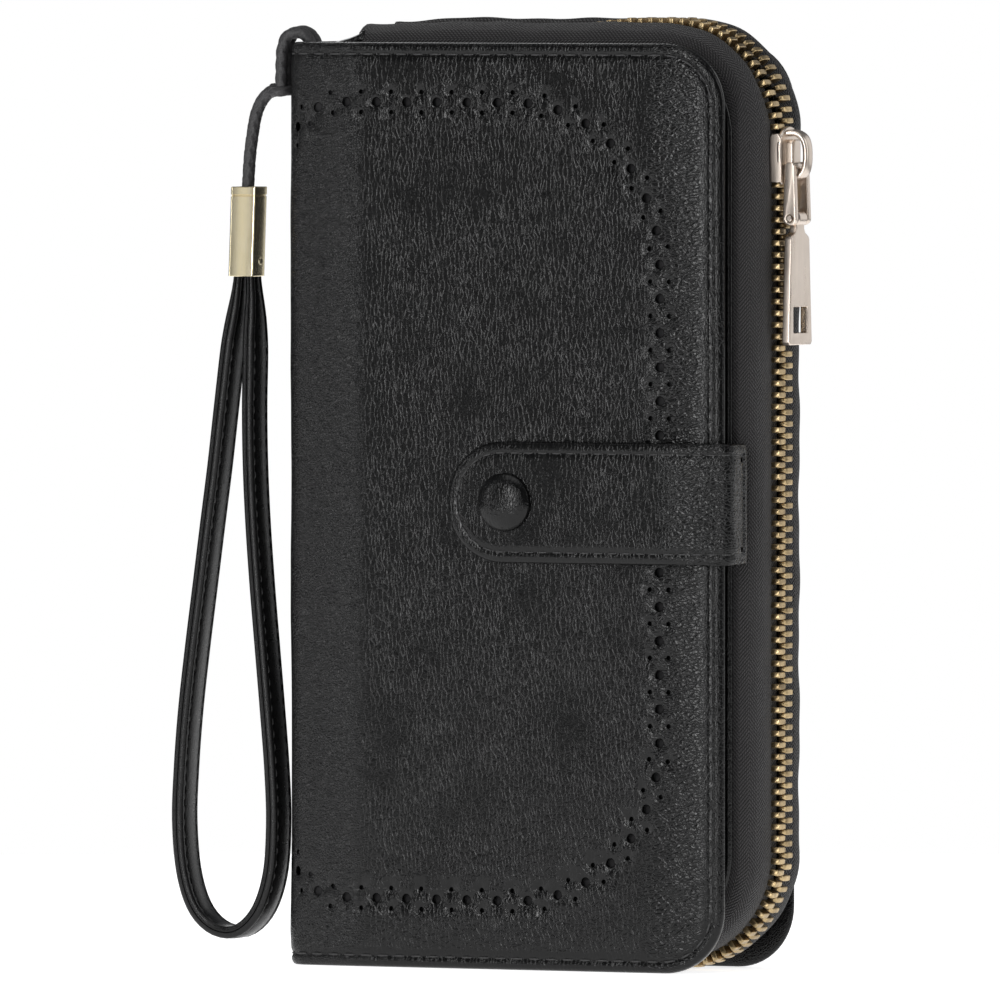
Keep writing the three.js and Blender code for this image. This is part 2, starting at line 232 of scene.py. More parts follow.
def tube_rings(path, section):
    """Rings of section(i, share) around a path: its points are (across, outward) and turn with the path."""
    line = [Vector(p) for p in path]
    count = len(line)
    rings = []
    side = None
    for i, point in enumerate(line):
        ahead = line[min(i + 1, count - 1)] - line[max(i - 1, 0)]
        ahead.normalize()
        if side is None:
            side = ahead.cross(Vector((0, 1, 0))) if abs(ahead.y) < 0.9 else ahead.cross(Vector((1, 0, 0)))
        side = side - ahead * side.dot(ahead)
        side.normalize()
        up = side.cross(ahead)
        rings.append([tuple(point + side * a + up * b) for a, b in section(i, i / (count - 1))])
    return rings


def smooth_path(points, count):
    """Evenly spaced points on a smooth curve through points."""
    pts = [Vector(p) for p in points]
    padded = [2 * pts[0] - pts[1], *pts, 2 * pts[-1] - pts[-2]]
    fine = []
    for i in range(1, len(padded) - 2):
        a, b, c, d = padded[i - 1:i + 3]
        for k in range(24):
            t = k / 24
            fine.append(0.5 * (
                2 * b + (c - a) * t + (2 * a - 5 * b + 4 * c - d) * t * t + (3 * b - a - 3 * c + d) * t ** 3
            ))
    fine.append(pts[-1])
    run = run_along(fine)
    grid = np.linspace(0, run[-1], count)
    out = np.array([[p[axis] for p in fine] for axis in range(3)])
    return [tuple(float(np.interp(g, run, out[axis])) for axis in range(3)) for g in grid]


def turned(profile, centre, axis, sides=48):
    """Rings of a turned piece: profile is (radius, height along axis) from one end to the other."""
    normal = Vector(axis).normalized()
    side = normal.orthogonal().normalized()
    other = normal.cross(side)
    return [
        [tuple(Vector(centre) + normal * height + side * a + other * b) for a, b in circle(radius, sides)]
        for radius, height in profile
    ]


def curve_plate(name, outlines, thickness, bevel, matrix):
    """A flat plate with round edges, from closed outlines in mm, of which inner ones are windows."""
    curve = bpy.data.curves.new(name, "CURVE")
    curve.dimensions = "2D"
    curve.fill_mode = "BOTH"
    curve.extrude = thickness / 2 - bevel
    curve.bevel_depth = bevel
    curve.bevel_resolution = 3
    curve.offset = -bevel
    for outline in outlines:
        spline = curve.splines.new("POLY")
        spline.points.add(len(outline) - 1)
        for point, (a, b) in zip(spline.points, outline):
            point.co = (a, b, 0, 1)
        spline.use_cyclic_u = True
    holder = add_object(name + "_curve", curve)
    bpy.context.view_layer.update()
    mesh = bpy.data.meshes.new_from_object(holder.evaluated_get(bpy.context.evaluated_depsgraph_get()))
    bpy.data.objects.remove(holder)
    bpy.data.curves.remove(curve)
    work = bmesh.new()
    work.from_mesh(mesh)
    bmesh.ops.remove_doubles(work, verts=work.verts, dist=1e-4)
    bmesh.ops.transform(work, matrix=matrix, verts=work.verts)
    bmesh.ops.recalc_face_normals(work, faces=work.faces)
    for vertex in work.verts:
        vertex.co = place(*vertex.co)
    work.to_mesh(mesh)
    work.free()
    mesh.name = name
    mesh.polygons.foreach_set("use_smooth", [True] * len(mesh.polygons))
    piece = add_object(name, mesh)
    split_sharp(piece)
    return piece


def split_sharp(piece, angle=35.0):
    """Keeps flat faces flat beside round edges."""
    with bpy.context.temp_override(object=piece, active_object=piece, selected_editable_objects=[piece]):
        bpy.ops.object.shade_smooth_by_angle(angle=math.radians(angle), keep_sharp_edges=True)


def join_pieces(name, pieces):
    """Several made pieces as one object."""
    with bpy.context.temp_override(active_object=pieces[0], selected_editable_objects=pieces):
        bpy.ops.object.join()
    pieces[0].name = name
    pieces[0].data.name = name
    return pieces[0]


# ---------------------------------------------------------------- leather sheets
def rounded_loop(s0, s1, z0, z1, radii, step):
    """Stations round a rectangle with round corners, each a function of its inset.

    radii are those of the low-s corners and the high-s corners.
    """
    near, far = radii
    stations = []
    corners = [
        (s1, z0, far, -90, 1, -1), (s1, z1, far, 0, 1, 1),
        (s0, z1, near, 90, -1, 1), (s0, z0, near, 180, -1, -1),
    ]

    def corner_point(radius, centre, angle, signs):
        n = (math.cos(angle), math.sin(angle))

        def at(inset):
            left = radius - inset
            if left >= 0:
                return centre[0] + left * n[0], centre[1] + left * n[1]
            return centre[0] + left * signs[0], centre[1] + left * signs[1]
        return at

    def edge_point(base, n):
        def at(inset):
            s = min(max(base[0] - n[0] * inset, s0 + inset), s1 - inset)
            return s, min(max(base[1] - n[1] * inset, z0 + inset), z1 - inset)
        return at

    for index, (cs, cz, radius, start, ss, sz) in enumerate(corners):
        centre = (cs - ss * radius, cz - sz * radius)
        turns = max(5, int(radius * 1.6 / step * 1.4))
        for k in range(turns + 1):
            stations.append(corner_point(radius, centre, math.radians(start + 90 * k / turns), (ss, sz)))
        n = (round(math.cos(math.radians(start + 90))), round(math.sin(math.radians(start + 90))))
        ncs, ncz, next_radius, _, nss, nsz = corners[(index + 1) % 4]
        begin = (centre[0] + radius * n[0], centre[1] + radius * n[1])
        goal = (ncs - nss * next_radius + next_radius * n[0], ncz - nsz * next_radius + next_radius * n[1])
        runs = max(1, int(math.hypot(goal[0] - begin[0], goal[1] - begin[1]) / step))
        for k in range(1, runs):
            t = k / runs
            base = (begin[0] + (goal[0] - begin[0]) * t, begin[1] + (goal[1] - begin[1]) * t)
            stations.append(edge_point(base, n))
    return stations


def fill_sheet(ring, spacing_s, spacing_z, holes, margin=0.8):
    """Triangles inside a convex ring of (s, z), around round holes (s, z, radius, sides)."""
    points = [Vector(p) for p in ring]
    edges = [(i, (i + 1) % len(ring)) for i in range(len(ring))]
    hole_rings = []
    for s, z, radius, sides in holes:
        start = len(points)
        points += [Vector(p) for p in circle(radius, sides, (s, z))]
        edges += [(start + k, start + (k + 1) % sides) for k in range(sides)]
        hole_rings.append(list(range(start, start + sides)))
    loop = np.array(ring)
    run = np.roll(loop, -1, axis=0) - loop
    length = np.hypot(run[:, 0], run[:, 1])
    loop, run, length = loop[length > 1e-6], run[length > 1e-6], length[length > 1e-6]
    centres = np.array([(s, z, r) for s, z, r, _ in holes]) if holes else np.zeros((0, 3))
    z_low, z_high = loop[:, 1].min(), loop[:, 1].max()
    rows = max(2, int((z_high - z_low) / spacing_z))
    for s in spacing_s:
        for row in range(1, rows):
            z = z_low + (z_high - z_low) * row / rows
            inside = (run[:, 0] * (z - loop[:, 1]) - run[:, 1] * (s - loop[:, 0])) / length
            if inside.min() < margin:
                continue
            if len(centres) and (np.hypot(centres[:, 0] - s, centres[:, 1] - z) - centres[:, 2]).min() < 0.5:
                continue
            points.append(Vector((s, z)))
    made = geometry.delaunay_2d_cdt(points, edges, [], 0, 1e-6)
    coords, triangles, origins = made[0], made[2], made[3]
    index_of = {}
    for new, olds in enumerate(origins):
        for old in olds:
            index_of[old] = new
    kept = []
    for triangle in triangles:
        c = sum((coords[i] for i in triangle), Vector((0, 0))) / 3
        if len(centres) and (np.hypot(centres[:, 0] - c.x, centres[:, 1] - c.y) < centres[:, 2] * 0.95).any():
            continue
        kept.append(tuple(triangle))
    ring_index = [index_of[i] for i in range(len(ring))]
    return coords, kept, ring_index, [[index_of[i] for i in h] for h in hole_rings]


def leather_sheet(name, loop, profile, place_on, columns, row_step, holes=(), relief=None, lip=0.16):
    """A closed leather sheet: a filled middle, front and back, holes through it, and an edge swept round it.

    profile lists (inset, height, share of the relief) from the middle's rim on the front, over the edge, to
    the rim on the back. place_on(s, z, height) gives the point in the drawing, and relief(s, z) the padded front.
    """
    relief = relief or (lambda s, z: 0.0)
    points, flats, faces = [], [], []

    def add(s, z, height, share):
        points.append(place_on(s, z, height + share * relief(s, z)))
        flats.append((s * MM, z * MM))
        return len(points) - 1

    def fill(inset, height, share):
        ring = [at(inset) for at in loop]
        grown = [(s, z, r * 1.2 + 0.03, n) for s, z, r, n in holes]
        coords, triangles, rim, rims = fill_sheet(ring, columns, row_step, grown)
        base = len(points)
        for c in coords:
            add(c.x, c.y, height, share)
        faces.extend(tuple(base + i for i in t) for t in triangles)
        return [base + i for i in rim], [[base + i for i in h] for h in rims]

    front_rim, front_holes = fill(*profile[0])
    back_rim, back_holes = fill(*profile[-1])
    bands = [front_rim]
    for inset, height, share in profile[1:-1]:
        bands.append([add(*at(inset), height, share) for at in loop])
    bands.append(back_rim)
    count = len(loop)
    for a, b in zip(bands, bands[1:]):
        for i in range(count):
            j = (i + 1) % count
            faces.append((a[i], a[j], b[j], b[i]))
    for (s, z, radius, sides), top, bottom in zip(holes, front_holes, back_holes):
        neck = [add(*p, profile[0][1] - lip, profile[0][2]) for p in circle(radius, sides, (s, z))]
        for a, b in ((top, neck), (neck, bottom)):
            for k in range(sides):
                n = (k + 1) % sides
                faces.append((a[k], a[n], b[n], b[k]))
    uvs = [[flats[i] for i in face] for face in faces]
    return make_piece(name, points, faces, uvs)


def stitch_run(path, normals, pitch, share, radius, lift):
    """Thread stitches along a path: each is a short rounded rod whose ends dive into the leather."""
    run = run_along(path)
    count = max(1, round(run[-1] / pitch))
    real = run[-1] / count

    def follow(values):
        columns = np.array([tuple(v) for v in values]).T
        return lambda d: Vector([float(np.interp(d, run, column)) for column in columns])

    at, normal_at = follow(path), follow(normals)
    points, faces = [], []
    steps, sides = 6, 6
    for index in range(count):
        start = index * real + real * (1 - share) / 2
        stop = start + real * share
        base = len(points)
        for i in range(steps + 1):
            t = i / steps
            d = start + (stop - start) * t
            centre, up = at(d), normal_at(d).normalized()
            ahead = (at(min(d + 0.1, run[-1])) - at(max(d - 0.1, 0))).normalized()
            side = ahead.cross(up).normalized()
            rise = lift - 2.2 * radius * abs(2 * t - 1) ** 4
            thick = radius * (1.0 - 0.45 * abs(2 * t - 1) ** 3)
            points += [tuple(centre + side * a + up * (rise + b)) for a, b in circle(thick, sides)]
        faces += ring_quads(base, steps + 1, sides)
        faces += [ring_cap(base, sides), ring_cap(base + steps * sides, sides)]
    return points, faces


def stitches(name, runs, pitch=3.9, share=0.8, radius=0.24, lift=0.05):
    points, faces = [], []
    for path, normals in runs:
        more, more_faces = stitch_run(path, normals, pitch, share, radius, lift)
        base = len(points)
        points += more
        faces += [tuple(base + i for i in f) for f in more_faces]
    return make_piece(name, points, faces)


def evenly(low, high, step):
    count = max(1, round((high - low) / step))
    return [low + (high - low) * k / count for k in range(count + 1)]


# ---------------------------------------------------------------- materials
class Shading:
    """A node material: add() makes a node, and a socket given as an input is linked to it."""

    def __init__(self, name):
        self.material = bpy.data.materials.new(name)
        self.material.use_nodes = True
        self.tree = self.material.node_tree
        self.tree.nodes.clear()
        self.output = self.tree.nodes.new("ShaderNodeOutputMaterial")

    def add(self, kind, inputs=None, **props):
        node = self.tree.nodes.new("ShaderNode" + kind)
        for key, value in props.items():
            setattr(node, key, value)
        for key, value in (inputs or {}).items():
            if isinstance(value, bpy.types.NodeSocket):
                self.tree.links.new(value, node.inputs[key])
            else:
                node.inputs[key].default_value = value
        return node

    def math(self, operation, a, b=0.0, c=0.0):
        return self.add("Math", {0: a, 1: b, 2: c}, operation=operation).outputs[0]

    def ramp(self, factor, stops):
        node = self.add("ValToRGB", {"Fac": factor})
        ramp = node.color_ramp
        while len(ramp.elements) < len(stops):
            ramp.elements.new(0.5)
        for element, (position, colour) in zip(ramp.elements, stops):
            element.position = position
            element.color = (*colour, 1) if len(colour) == 3 else colour
        return node.outputs["Color"]

    def coords(self, flat=True):
        if flat:
            return self.add("UVMap", uv_map="flat").outputs["UV"]
        return self.add("TexCoord").outputs["Object"]

    def noise(self, vector, scale, detail=2.0, roughness=0.5):
        inputs = {"Vector": vector, "Scale": scale, "Detail": detail, "Roughness": roughness}
        return self.add("TexNoise", inputs).outputs["Fac"]

    def surface(self, height=None, distance=0.0002, strength=1.0, **inputs):
        shader = self.add("BsdfPrincipled", {k.replace("_", " "): v for k, v in inputs.items()})
        if height is not None:
            bump = self.add("Bump", {"Height": height, "Distance": distance, "Strength": strength})
            self.tree.links.new(bump.outputs["Normal"], shader.inputs["Normal"])
        self.tree.links.new(shader.outputs[0], self.output.inputs["Surface"])
        return self.material


def grey(value, warm=0.0):
    return (value * (1 + warm), value, value * (1 - warm), 1)


def leather_material(name, cell, dark=0.0012, light=0.004, rough=0.17, spine=None, wrinkle=None, rim=None,
                     worn=1.0):
    """Black creased leather: cell is the width of its plates in metres, and heights here are in millimetres.

    Long worn creases run up and down. spine, wrinkle and rim are (start, full) distances along the flat
    pattern, in metres: the leather turns to plain round pebbles past spine, where its colour is also lifted as a
    painted sheen, and to crosswise wrinkles towards wrinkle, which fade again before rim. The colour is darker
    in the grain's grooves: painted shade in the creases.
    """
    s = Shading(name)
    flat = s.coords()
    across = s.add("SeparateXYZ", {"Vector": flat}).outputs[0]
    wander = s.add("TexNoise", {"Vector": flat, "Scale": 0.3 / cell, "Detail": 2.0}).outputs["Color"]
    shift = s.add("VectorMath", {0: wander, 1: (-0.5, -0.5, -0.5)}, operation="ADD").outputs[0]
    shift = s.add("VectorMath", {0: shift, "Scale": cell * 1.5}, operation="SCALE").outputs[0]
    bent = s.add("VectorMath", {0: flat, 1: shift}, operation="ADD").outputs[0]

    def cells(scale, turn, size):
        mapping = {"Vector": bent, "Rotation": (0, 0, turn), "Scale": (*scale, 1.0)}
        inputs = {"Vector": s.add("Mapping", mapping).outputs[0], "Scale": size / cell}
        return s.add("TexVoronoi", inputs, feature="DISTANCE_TO_EDGE").outputs["Distance"]

    def groove(distance, steep, power):
        return s.math("POWER", s.math("MINIMUM", s.math("MULTIPLY", distance, steep), 1.0), power)

    def zone(limits):
        if not limits:
            return 0.0
        inputs = {"Value": across, "From Min": limits[0], "From Max": limits[1]}
        return s.add("MapRange", inputs, interpolation_type="SMOOTHSTEP").outputs[0]

    near_spine = zone(spine)
    near_bend = s.math("MULTIPLY", zone(wrinkle), zone(rim)) if rim else zone(wrinkle)
    upright = groove(cells((1.0, 0.4), 0.28, 0.8), 7.0, 0.7)
    crosswise = groove(cells((0.4, 1.0), -0.15, 1.0), 5.0, 0.7)
    plates = groove(cells((1.0, 0.8), 0.0, 1.0), 7.0, 0.7)
    pebble = groove(cells((1.0, 0.9), 0.0, 1.35), 2.6, 0.6)
    wear = s.math("MULTIPLY_ADD", s.noise(flat, 0.05 / cell, 3.0, 0.6), 2.0, -0.3)
    wear = s.math("MINIMUM", s.math("MAXIMUM", wear, 0.25), 1.0)
    open_area = s.math("SUBTRACT", 1.0, s.math("MAXIMUM", near_spine, near_bend))
    layers = [
        (upright, s.math("MULTIPLY", s.math("MULTIPLY", wear, open_area), 0.05 * worn)),
        (plates, 0.012),
        (s.math("MULTIPLY", crosswise, near_bend), 0.075),
        (s.math("MULTIPLY", pebble, near_spine), 0.075),
        (s.noise(bent, 0.45 / cell, 1.0), 0.025),
        (s.noise(flat, 0.08 / cell, 1.0), 0.09),
    ]
    height = 0.0
    for layer_height, amount in layers:
        height = s.math("MULTIPLY_ADD", layer_height, amount, height)
    # The colour is darker in the grain's grooves (painted shade in the creases) and lighter near the spine (a painted
    # sheen from the light at the left).
    tone = s.math("MULTIPLY_ADD", plates, 0.5, s.math("MULTIPLY", near_spine, 0.45))
    colour = s.ramp(tone, [(0.1, (dark, dark, dark * 1.02)), (0.95, (light, light * 0.97, light * 1.02))])
    gloss = s.math("MULTIPLY_ADD", s.noise(flat, 0.5 / cell, 3.0), 0.14, rough - 0.07)
    return s.surface(height, 0.001, 1.0, Base_Color=colour, Roughness=gloss, IOR=1.5, Specular_IOR_Level=0.3)


def thread_material():
    s = Shading("stitch_thread")
    wave = s.add("TexWave", {"Vector": s.coords(False), "Scale": 900.0, "Distortion": 1.0}).outputs["Fac"]
    # The colour follows the twist's bands: lighter on them as a painted highlight, darker in their hollows as painted
    # shade.
    colour = s.ramp(wave, [(0.0, (0.012, 0.012, 0.012)), (1.0, (0.045, 0.044, 0.045))])
    return s.surface(wave, 0.00006, 0.7, Base_Color=colour, Roughness=0.45)


def twill_material():
    """Herringbone zip tape: slanted yarns that turn back every few millimetres across the tape, coloured darker where
    the weave lies low as painted shade between the yarns.
    """
    s = Shading("zip_tape_twill")
    parts = s.add("SeparateXYZ", {"Vector": s.coords()})
    along, across = parts.outputs[0], parts.outputs[1]
    fold = s.math("PINGPONG", across, 0.0021)
    slant = s.math("MULTIPLY", s.math("ADD", along, s.math("MULTIPLY", fold, 1.25)), 2 * math.pi / 0.00085)
    rib = s.math("MULTIPLY_ADD", s.math("SINE", slant), 0.5, 0.5)
    pick = s.math("MULTIPLY_ADD", s.math("SINE", s.math("MULTIPLY", across, 2 * math.pi / 0.00042)), 0.5, 0.5)
    weave = s.math("MULTIPLY", rib, s.math("MULTIPLY_ADD", pick, 0.6, 0.4))
    fuzz = s.noise(s.coords(), 5200.0, 2.0)
    height = s.math("ADD", weave, s.math("MULTIPLY", fuzz, 0.25))
    # Painted shade: the colour follows the weave's height, darker between the yarns; the fuzz adds a random tone.
    colour = s.ramp(height, [(0.15, (0.003, 0.0028, 0.003)), (0.9, (0.04, 0.037, 0.0385))])
    return s.surface(height, 0.00026, 1.0, Base_Color=colour, Roughness=0.78, Specular_IOR_Level=0.35,
                     Sheen_Weight=0.15, Sheen_Roughness=0.5)


def metal_material(name, bright, dim, rough, patina=0.5, grain=900.0, stretch=(1, 1, 1), bump=0.00002):
    s = Shading(name)
    spot = s.coords(False)
    drawn = s.add("Mapping", {"Vector": spot, "Scale": stretch}).outputs[0]
    stain = s.noise(spot, 260.0, 3.0, 0.6)
    lines = s.noise(drawn, grain, 3.0, 0.6)
    mixed = s.math("MULTIPLY_ADD", stain, patina, s.math("MULTIPLY", lines, 1 - patina))
    colour = s.ramp(mixed, [(0.3, dim), (0.62, bright)])
    gloss = s.math("MULTIPLY_ADD", lines, 0.2, rough - 0.1)
    return s.surface(lines, bump, 0.6, Base_Color=colour, Roughness=gloss, Metallic=1.0)


def cloth_material(name, low, high, pitch=0.0005):
    s = Shading(name)
    parts = s.add("SeparateXYZ", {"Vector": s.coords(False)})
    yarns = []
    for axis in (0, 2):
        turn = s.math("MULTIPLY", parts.outputs[axis], 2 * math.pi / pitch)
        yarns.append(s.math("MULTIPLY_ADD", s.math("SINE", turn), 0.5, 0.5))
    weave = s.math("MULTIPLY", yarns[0], yarns[1])
    patch = s.noise(s.coords(False), 70.0, 3.0)
    # The colour is darker between the yarns, which is painted shade, and also varies in random patches.
    tone = s.math("MULTIPLY_ADD", weave, 0.5, s.math("MULTIPLY", patch, 0.5))
    colour = s.ramp(tone, [(0.1, low), (0.8, high)])
    return s.surface(weave, 0.00008, 0.8, Base_Color=colour, Roughness=0.8, Sheen_Weight=0.1)


def cord_material():
    s = Shading("waxed_cord")
    fibre = s.noise(s.coords(False), 3200.0, 2.0)
    colour = s.ramp(fibre, [(0.3, (0.012, 0.012, 0.013)), (0.7, (0.05, 0.048, 0.05))])
    return s.surface(fibre, 0.00008, 0.7, Base_Color=colour, Roughness=0.55)


def board_material():
    s = Shading("stiffener_board")
    fleck = s.noise(s.coords(False), 900.0, 4.0, 0.7)
    colour = s.ramp(fleck, [(0.3, (0.008, 0.008, 0.009)), (0.7, (0.022, 0.021, 0.022))])
    return s.surface(fleck, 0.00006, 0.5, Base_Color=colour, Roughness=0.9)


GRAIN = 0.0007
COVER = leather_material("cover_leather", GRAIN, spine=(0.079, 0.087), wrinkle=(0.02, 0.012),
                         rim=(0.003, 0.006))
PANEL = leather_material("panel_leather", GRAIN, worn=0.6)
TAB = leather_material("tab_leather", GRAIN, wrinkle=(0.046, 0.057), worn=0.8)
STRAP = leather_material("strap_leather", GRAIN, dark=0.003, light=0.008, rough=0.29, worn=0.3)
THREAD = thread_material()
TWILL = twill_material()
BRASS = metal_material("antique_brass", (0.62, 0.47, 0.26), (0.16, 0.11, 0.055), 0.36, 0.6)
NICKEL = metal_material("satin_nickel", (0.72, 0.63, 0.55), (0.6, 0.52, 0.45), 0.3, 0.3, 700.0, (1, 1, 0.12))
GOLD = metal_material("pale_gold", (0.96, 0.85, 0.6), (0.9, 0.78, 0.5), 0.2, 0.3, 600.0, (1, 1, 0.08),
                      0.000008)
LINING = cloth_material("lining_cloth", (0.008, 0.008, 0.009), (0.03, 0.029, 0.031))
WAXED = cord_material()
BOARD = board_material()


def finish_piece(piece, material, slot, body=None, replaced=()):
    piece.data.materials.clear()
    piece.data.materials.append(material)
    if replaced:
        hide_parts(*replaced)
    if body:
        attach(piece, body)
    return piece


# ---------------------------------------------------------------- wristlet: cord, clamp and strap
HITCH_ROUTE = [
    (-47.6, -11.0, 186.5), (-47.8, -11.3, 190), (-49.0, -11.6, 192.2), (-50.9, -12.0, 192.9), (-53.0, -12.4, 192.0),
    (-54.0, -12.6, 189.3), (-54.2, -12.7, 184.5), (-54.2, -12.7, 180.0),
]
CORD_ROUTE = [
    (-57.2, 180.7), (-57.9, 180.4), (-58.7, 179.8), (-59.5, 178.9), (-60.2, 177.8), (-60.9, 176.2), (-61.4, 174.3),
    (-61.8, 172), (-62.2, 169.5), (-62.5, 167), (-62.7, 164.5), (-62.85, 162), (-63, 159.5), (-63, 156.5),
    (-63, 153), (-63, 149),
]
STRAP_ROUTE = [
    (-61.6, 142.8), (-61.3, 136), (-61.2, 126), (-61.4, 115), (-61.2, 103), (-60.6, 91), (-59.6, 78), (-58.4, 65),
    (-57.2, 52), (-56.2, 40), (-55.8, 29), (-56.6, 18.5), (-59.4, 10.8), (-64.1, 6.6), (-69.5, 6.9), (-74.1, 11),
    (-76.8, 18.5), (-77.8, 29), (-77.4, 40), (-76.4, 52), (-74.8, 65), (-73, 78), (-71.2, 91), (-69.5, 103),
    (-68, 115), (-66.6, 126), (-65.2, 136), (-64.5, 142.8),
]
STRAP_WIDTH = 7.6
STRAP_THICK = 2.6


def strap_plane(route):
    return [(x, STRAP_Y, z) for x, z in route]


def braided_rings(path, radius, sides=32, per_mm=4.0, strands=4, pitch=5.5):
    """A braid: two sets of crossing strands, one turning each way, go over and under each other."""
    length = run_along(path)[-1]
    line = smooth_path(path, int(length * per_mm))

    def section(i, share):
        turn = 4 * math.pi * share * length / pitch
        over = 0.5 + 0.5 * math.cos(2 * turn)
        ring = []
        for k in range(sides):
            angle = 2 * math.pi * k / sides
            one = math.cos(strands * angle + turn)
            two = math.cos(strands * angle - turn)
            lift = max(one * (0.7 + 0.3 * over), two * (1.0 - 0.3 * over))
            r = radius * (0.93 + 0.09 * lift)
            ring.append((r * math.cos(angle), r * math.sin(angle)))
        return ring

    return tube_rings(line, section), line


def strap_section(across, thick):
    """Two leather strips back to back: rounded edges, a seam between, and a stitch groove along each border."""
    half, t = across / 2, thick / 2
    quarter = [
        (-half, 0.12), (-half - 0.02, 0.32), (-half + 0.12, t - 0.32), (-half + 0.42, t - 0.06), (-half + 0.75, t),
        (-half + 1.0, t - 0.12), (-half + 1.2, t - 0.2), (-half + 1.4, t - 0.12), (-half + 1.75, t + 0.02),
        (0.0, t + 0.1),
    ]
    top = quarter + [(-a, b) for a, b in reversed(quarter[:-1])]
    bottom = [(-a, -b) for a, b in top]
    seam_right, seam_left = (half - 0.28, 0.0), (-half + 0.28, 0.0)
    return top + [seam_right] + bottom + [seam_left]


def strap_rings(line, width, thick):
    """The strap's sections, which are pinched narrow and thin where they go into the clamp."""
    points = [Vector(p) for p in line]
    count = len(points)
    total = run_along(line)[-1]
    across = Vector((0, 1, 0))
    pinched_width, pinched_thick = 4.3, 1.75
    rings = []
    for i, p in enumerate(points):
        ahead = points[min(i + 1, count - 1)] - points[max(i - 1, 0)]
        out = ahead.cross(across).normalized()
        from_end = min(i, count - 1 - i) / (count - 1) * total
        w = pinched_width + (width - pinched_width) * smooth(from_end / 16)
        t = pinched_thick + (thick - pinched_thick) * smooth(from_end / 10)
        rings.append([tuple(p + across * a + out * b) for a, b in strap_section(w, t)])
    return rings


def build_wristlet():
    rings, line = braided_rings(strap_plane(CORD_ROUTE), CORD / 2)
    cord = make_piece("wrist_cord_braid", *sweep(rings))
    finish_piece(cord, WAXED, "cord", "wristlet", ["wrist_cord"])

    loops = []
    for offset, lift in ((-1.2, 0.0), (1.2, 0.2)):
        route = [(x, y + offset, z + lift) for x, y, z in HITCH_ROUTE]
        strand, _ = braided_rings(route, 1.25, 20, 3.0)
        loops.append(make_piece("hitch_strand", *sweep(strand)))
    wrap = [
        (-54.6 + 1.75 * math.cos(a), -12.6 + 2.3 * math.sin(a), 180.9 + 0.4 * math.sin(a * 0.5))
        for a in np.linspace(-2.6, 3.6, 26)
    ]
    strand, _ = braided_rings(wrap, 1.1, 18, 3.0)
    loops.append(make_piece("hitch_wrap", *sweep(strand)))
    hitch = join_pieces("cord_hitch_loops", loops)
    finish_piece(hitch, WAXED, "cord", "pouch", ["cord_hitch"])

    clamp = build_clamp()
    span = smooth_path(strap_plane(STRAP_ROUTE), 190)
    strap = make_piece("wrist_strap_leather", *sweep(strap_rings(span, STRAP_WIDTH, STRAP_THICK)))
    finish_piece(strap, STRAP, "strap_leather", "wristlet", ["wrist_strap"])
    split_sharp(strap, 50)

    inner = smooth_path(strap_plane(STRAP_ROUTE), 300)[14:-14]
    runs = []
    for side in (-1, 1):
        for face in (-1, 1):
            path, normals = [], []
            for i, p in enumerate(inner):
                p = Vector(p)
                ahead = Vector(inner[min(i + 1, len(inner) - 1)]) - Vector(inner[max(i - 1, 0)])
                out = ahead.normalized().cross(Vector((0, 1, 0))) * face
                beside = Vector((0, side * (STRAP_WIDTH / 2 - 1.2), 0))
                path.append(p + beside + out * (STRAP_THICK / 2 - 0.17))
                normals.append(out)
            runs.append((path, normals))
    seams = stitches("wrist_strap_stitches", runs, pitch=2.7, share=0.74, radius=0.17)
    finish_piece(seams, THREAD, "strap_leather", "wristlet")

    place(*strap_plane(CORD_ROUTE)[0])
    run_along(line)[-1] * MM
    [place(*p) for p in line]
    run_along(span)[-1] * MM


def build_clamp():
    """A folded metal sleeve: soft corners, a lip at the top, a small rivet hole in one side."""
    half_x, half_y, wall, low = 3.0, 2.7, 0.55, CLAMP_TOP - CLAMP_HEIGHT
    lean_slope = 0.035

    def lean(z):
        return (z - low - CLAMP_HEIGHT / 2) * lean_slope

    def ring(grow, z):
        radius = max(0.2, 0.55 + grow)
        hx, hy = half_x + grow - radius, half_y + grow - radius
        points = []
        for cx, cy, start in ((hx, hy, 0), (-hx, hy, 90), (-hx, -hy, 180), (hx, -hy, 270)):
            for k in range(6):
                angle = math.radians(start + 18 * k)
                x, y = cx + radius * math.cos(angle), cy + radius * math.sin(angle)
                points.append((CLAMP_X + x + lean(z), STRAP_Y + y, z))
        return points

    levels = [
        (0.0, low + 0.12), (0.0, low + 3), (0.0, CLAMP_TOP - 2.1), (0.0, CLAMP_TOP - 2.0),
        (-0.22, CLAMP_TOP - 1.9), (-0.22, CLAMP_TOP - 1.75), (0.02, CLAMP_TOP - 1.65), (0.02, CLAMP_TOP - 0.15),
        (-0.12, CLAMP_TOP), (-wall, CLAMP_TOP), (-wall - 0.06, CLAMP_TOP - 0.2), (-wall - 0.06, low + 0.2),
        (-wall, low), (-0.12, low),
    ]
    sleeve = make_piece("wrist_clamp_sleeve", *sweep([ring(g, z) for g, z in levels], closed_path=True))
    split_sharp(sleeve, 40)
    rivet_z = low + 3.2
    eyelet = [(0.28, -0.12), (0.5, -0.02), (0.62, 0.12), (0.78, 0.12), (0.86, 0.0), (0.86, -0.2), (0.28, -0.2)]
    rings = turned(eyelet, (CLAMP_X + half_x + lean(rivet_z), STRAP_Y + 0.4, rivet_z), (1, 0, 0), 24)
    rim = make_piece("clamp_eyelet", *sweep(rings))
    clamp = join_pieces("wrist_clamp_sleeve", [sleeve, rim])
    return finish_piece(clamp, GOLD, "clamp_gold", "wristlet", ["cord_clamp"])


build_wristlet()


# ---------------------------------------------------------------- covers: one wrapped leather shell
EDGE_X = 49.6  # the visible edge of both covers, inside the CAD leather's
FRONT_RUN = EDGE_X - (SPINE_X + FOLD_RADIUS)
ARC_RUN = FOLD_RADIUS * math.pi / 2
SPINE_RUN = (BACK_Y - FOLD_RADIUS) - (FRONT_Y + FOLD_RADIUS)
SHELL_RUN = 2 * FRONT_RUN + 2 * ARC_RUN + SPINE_RUN


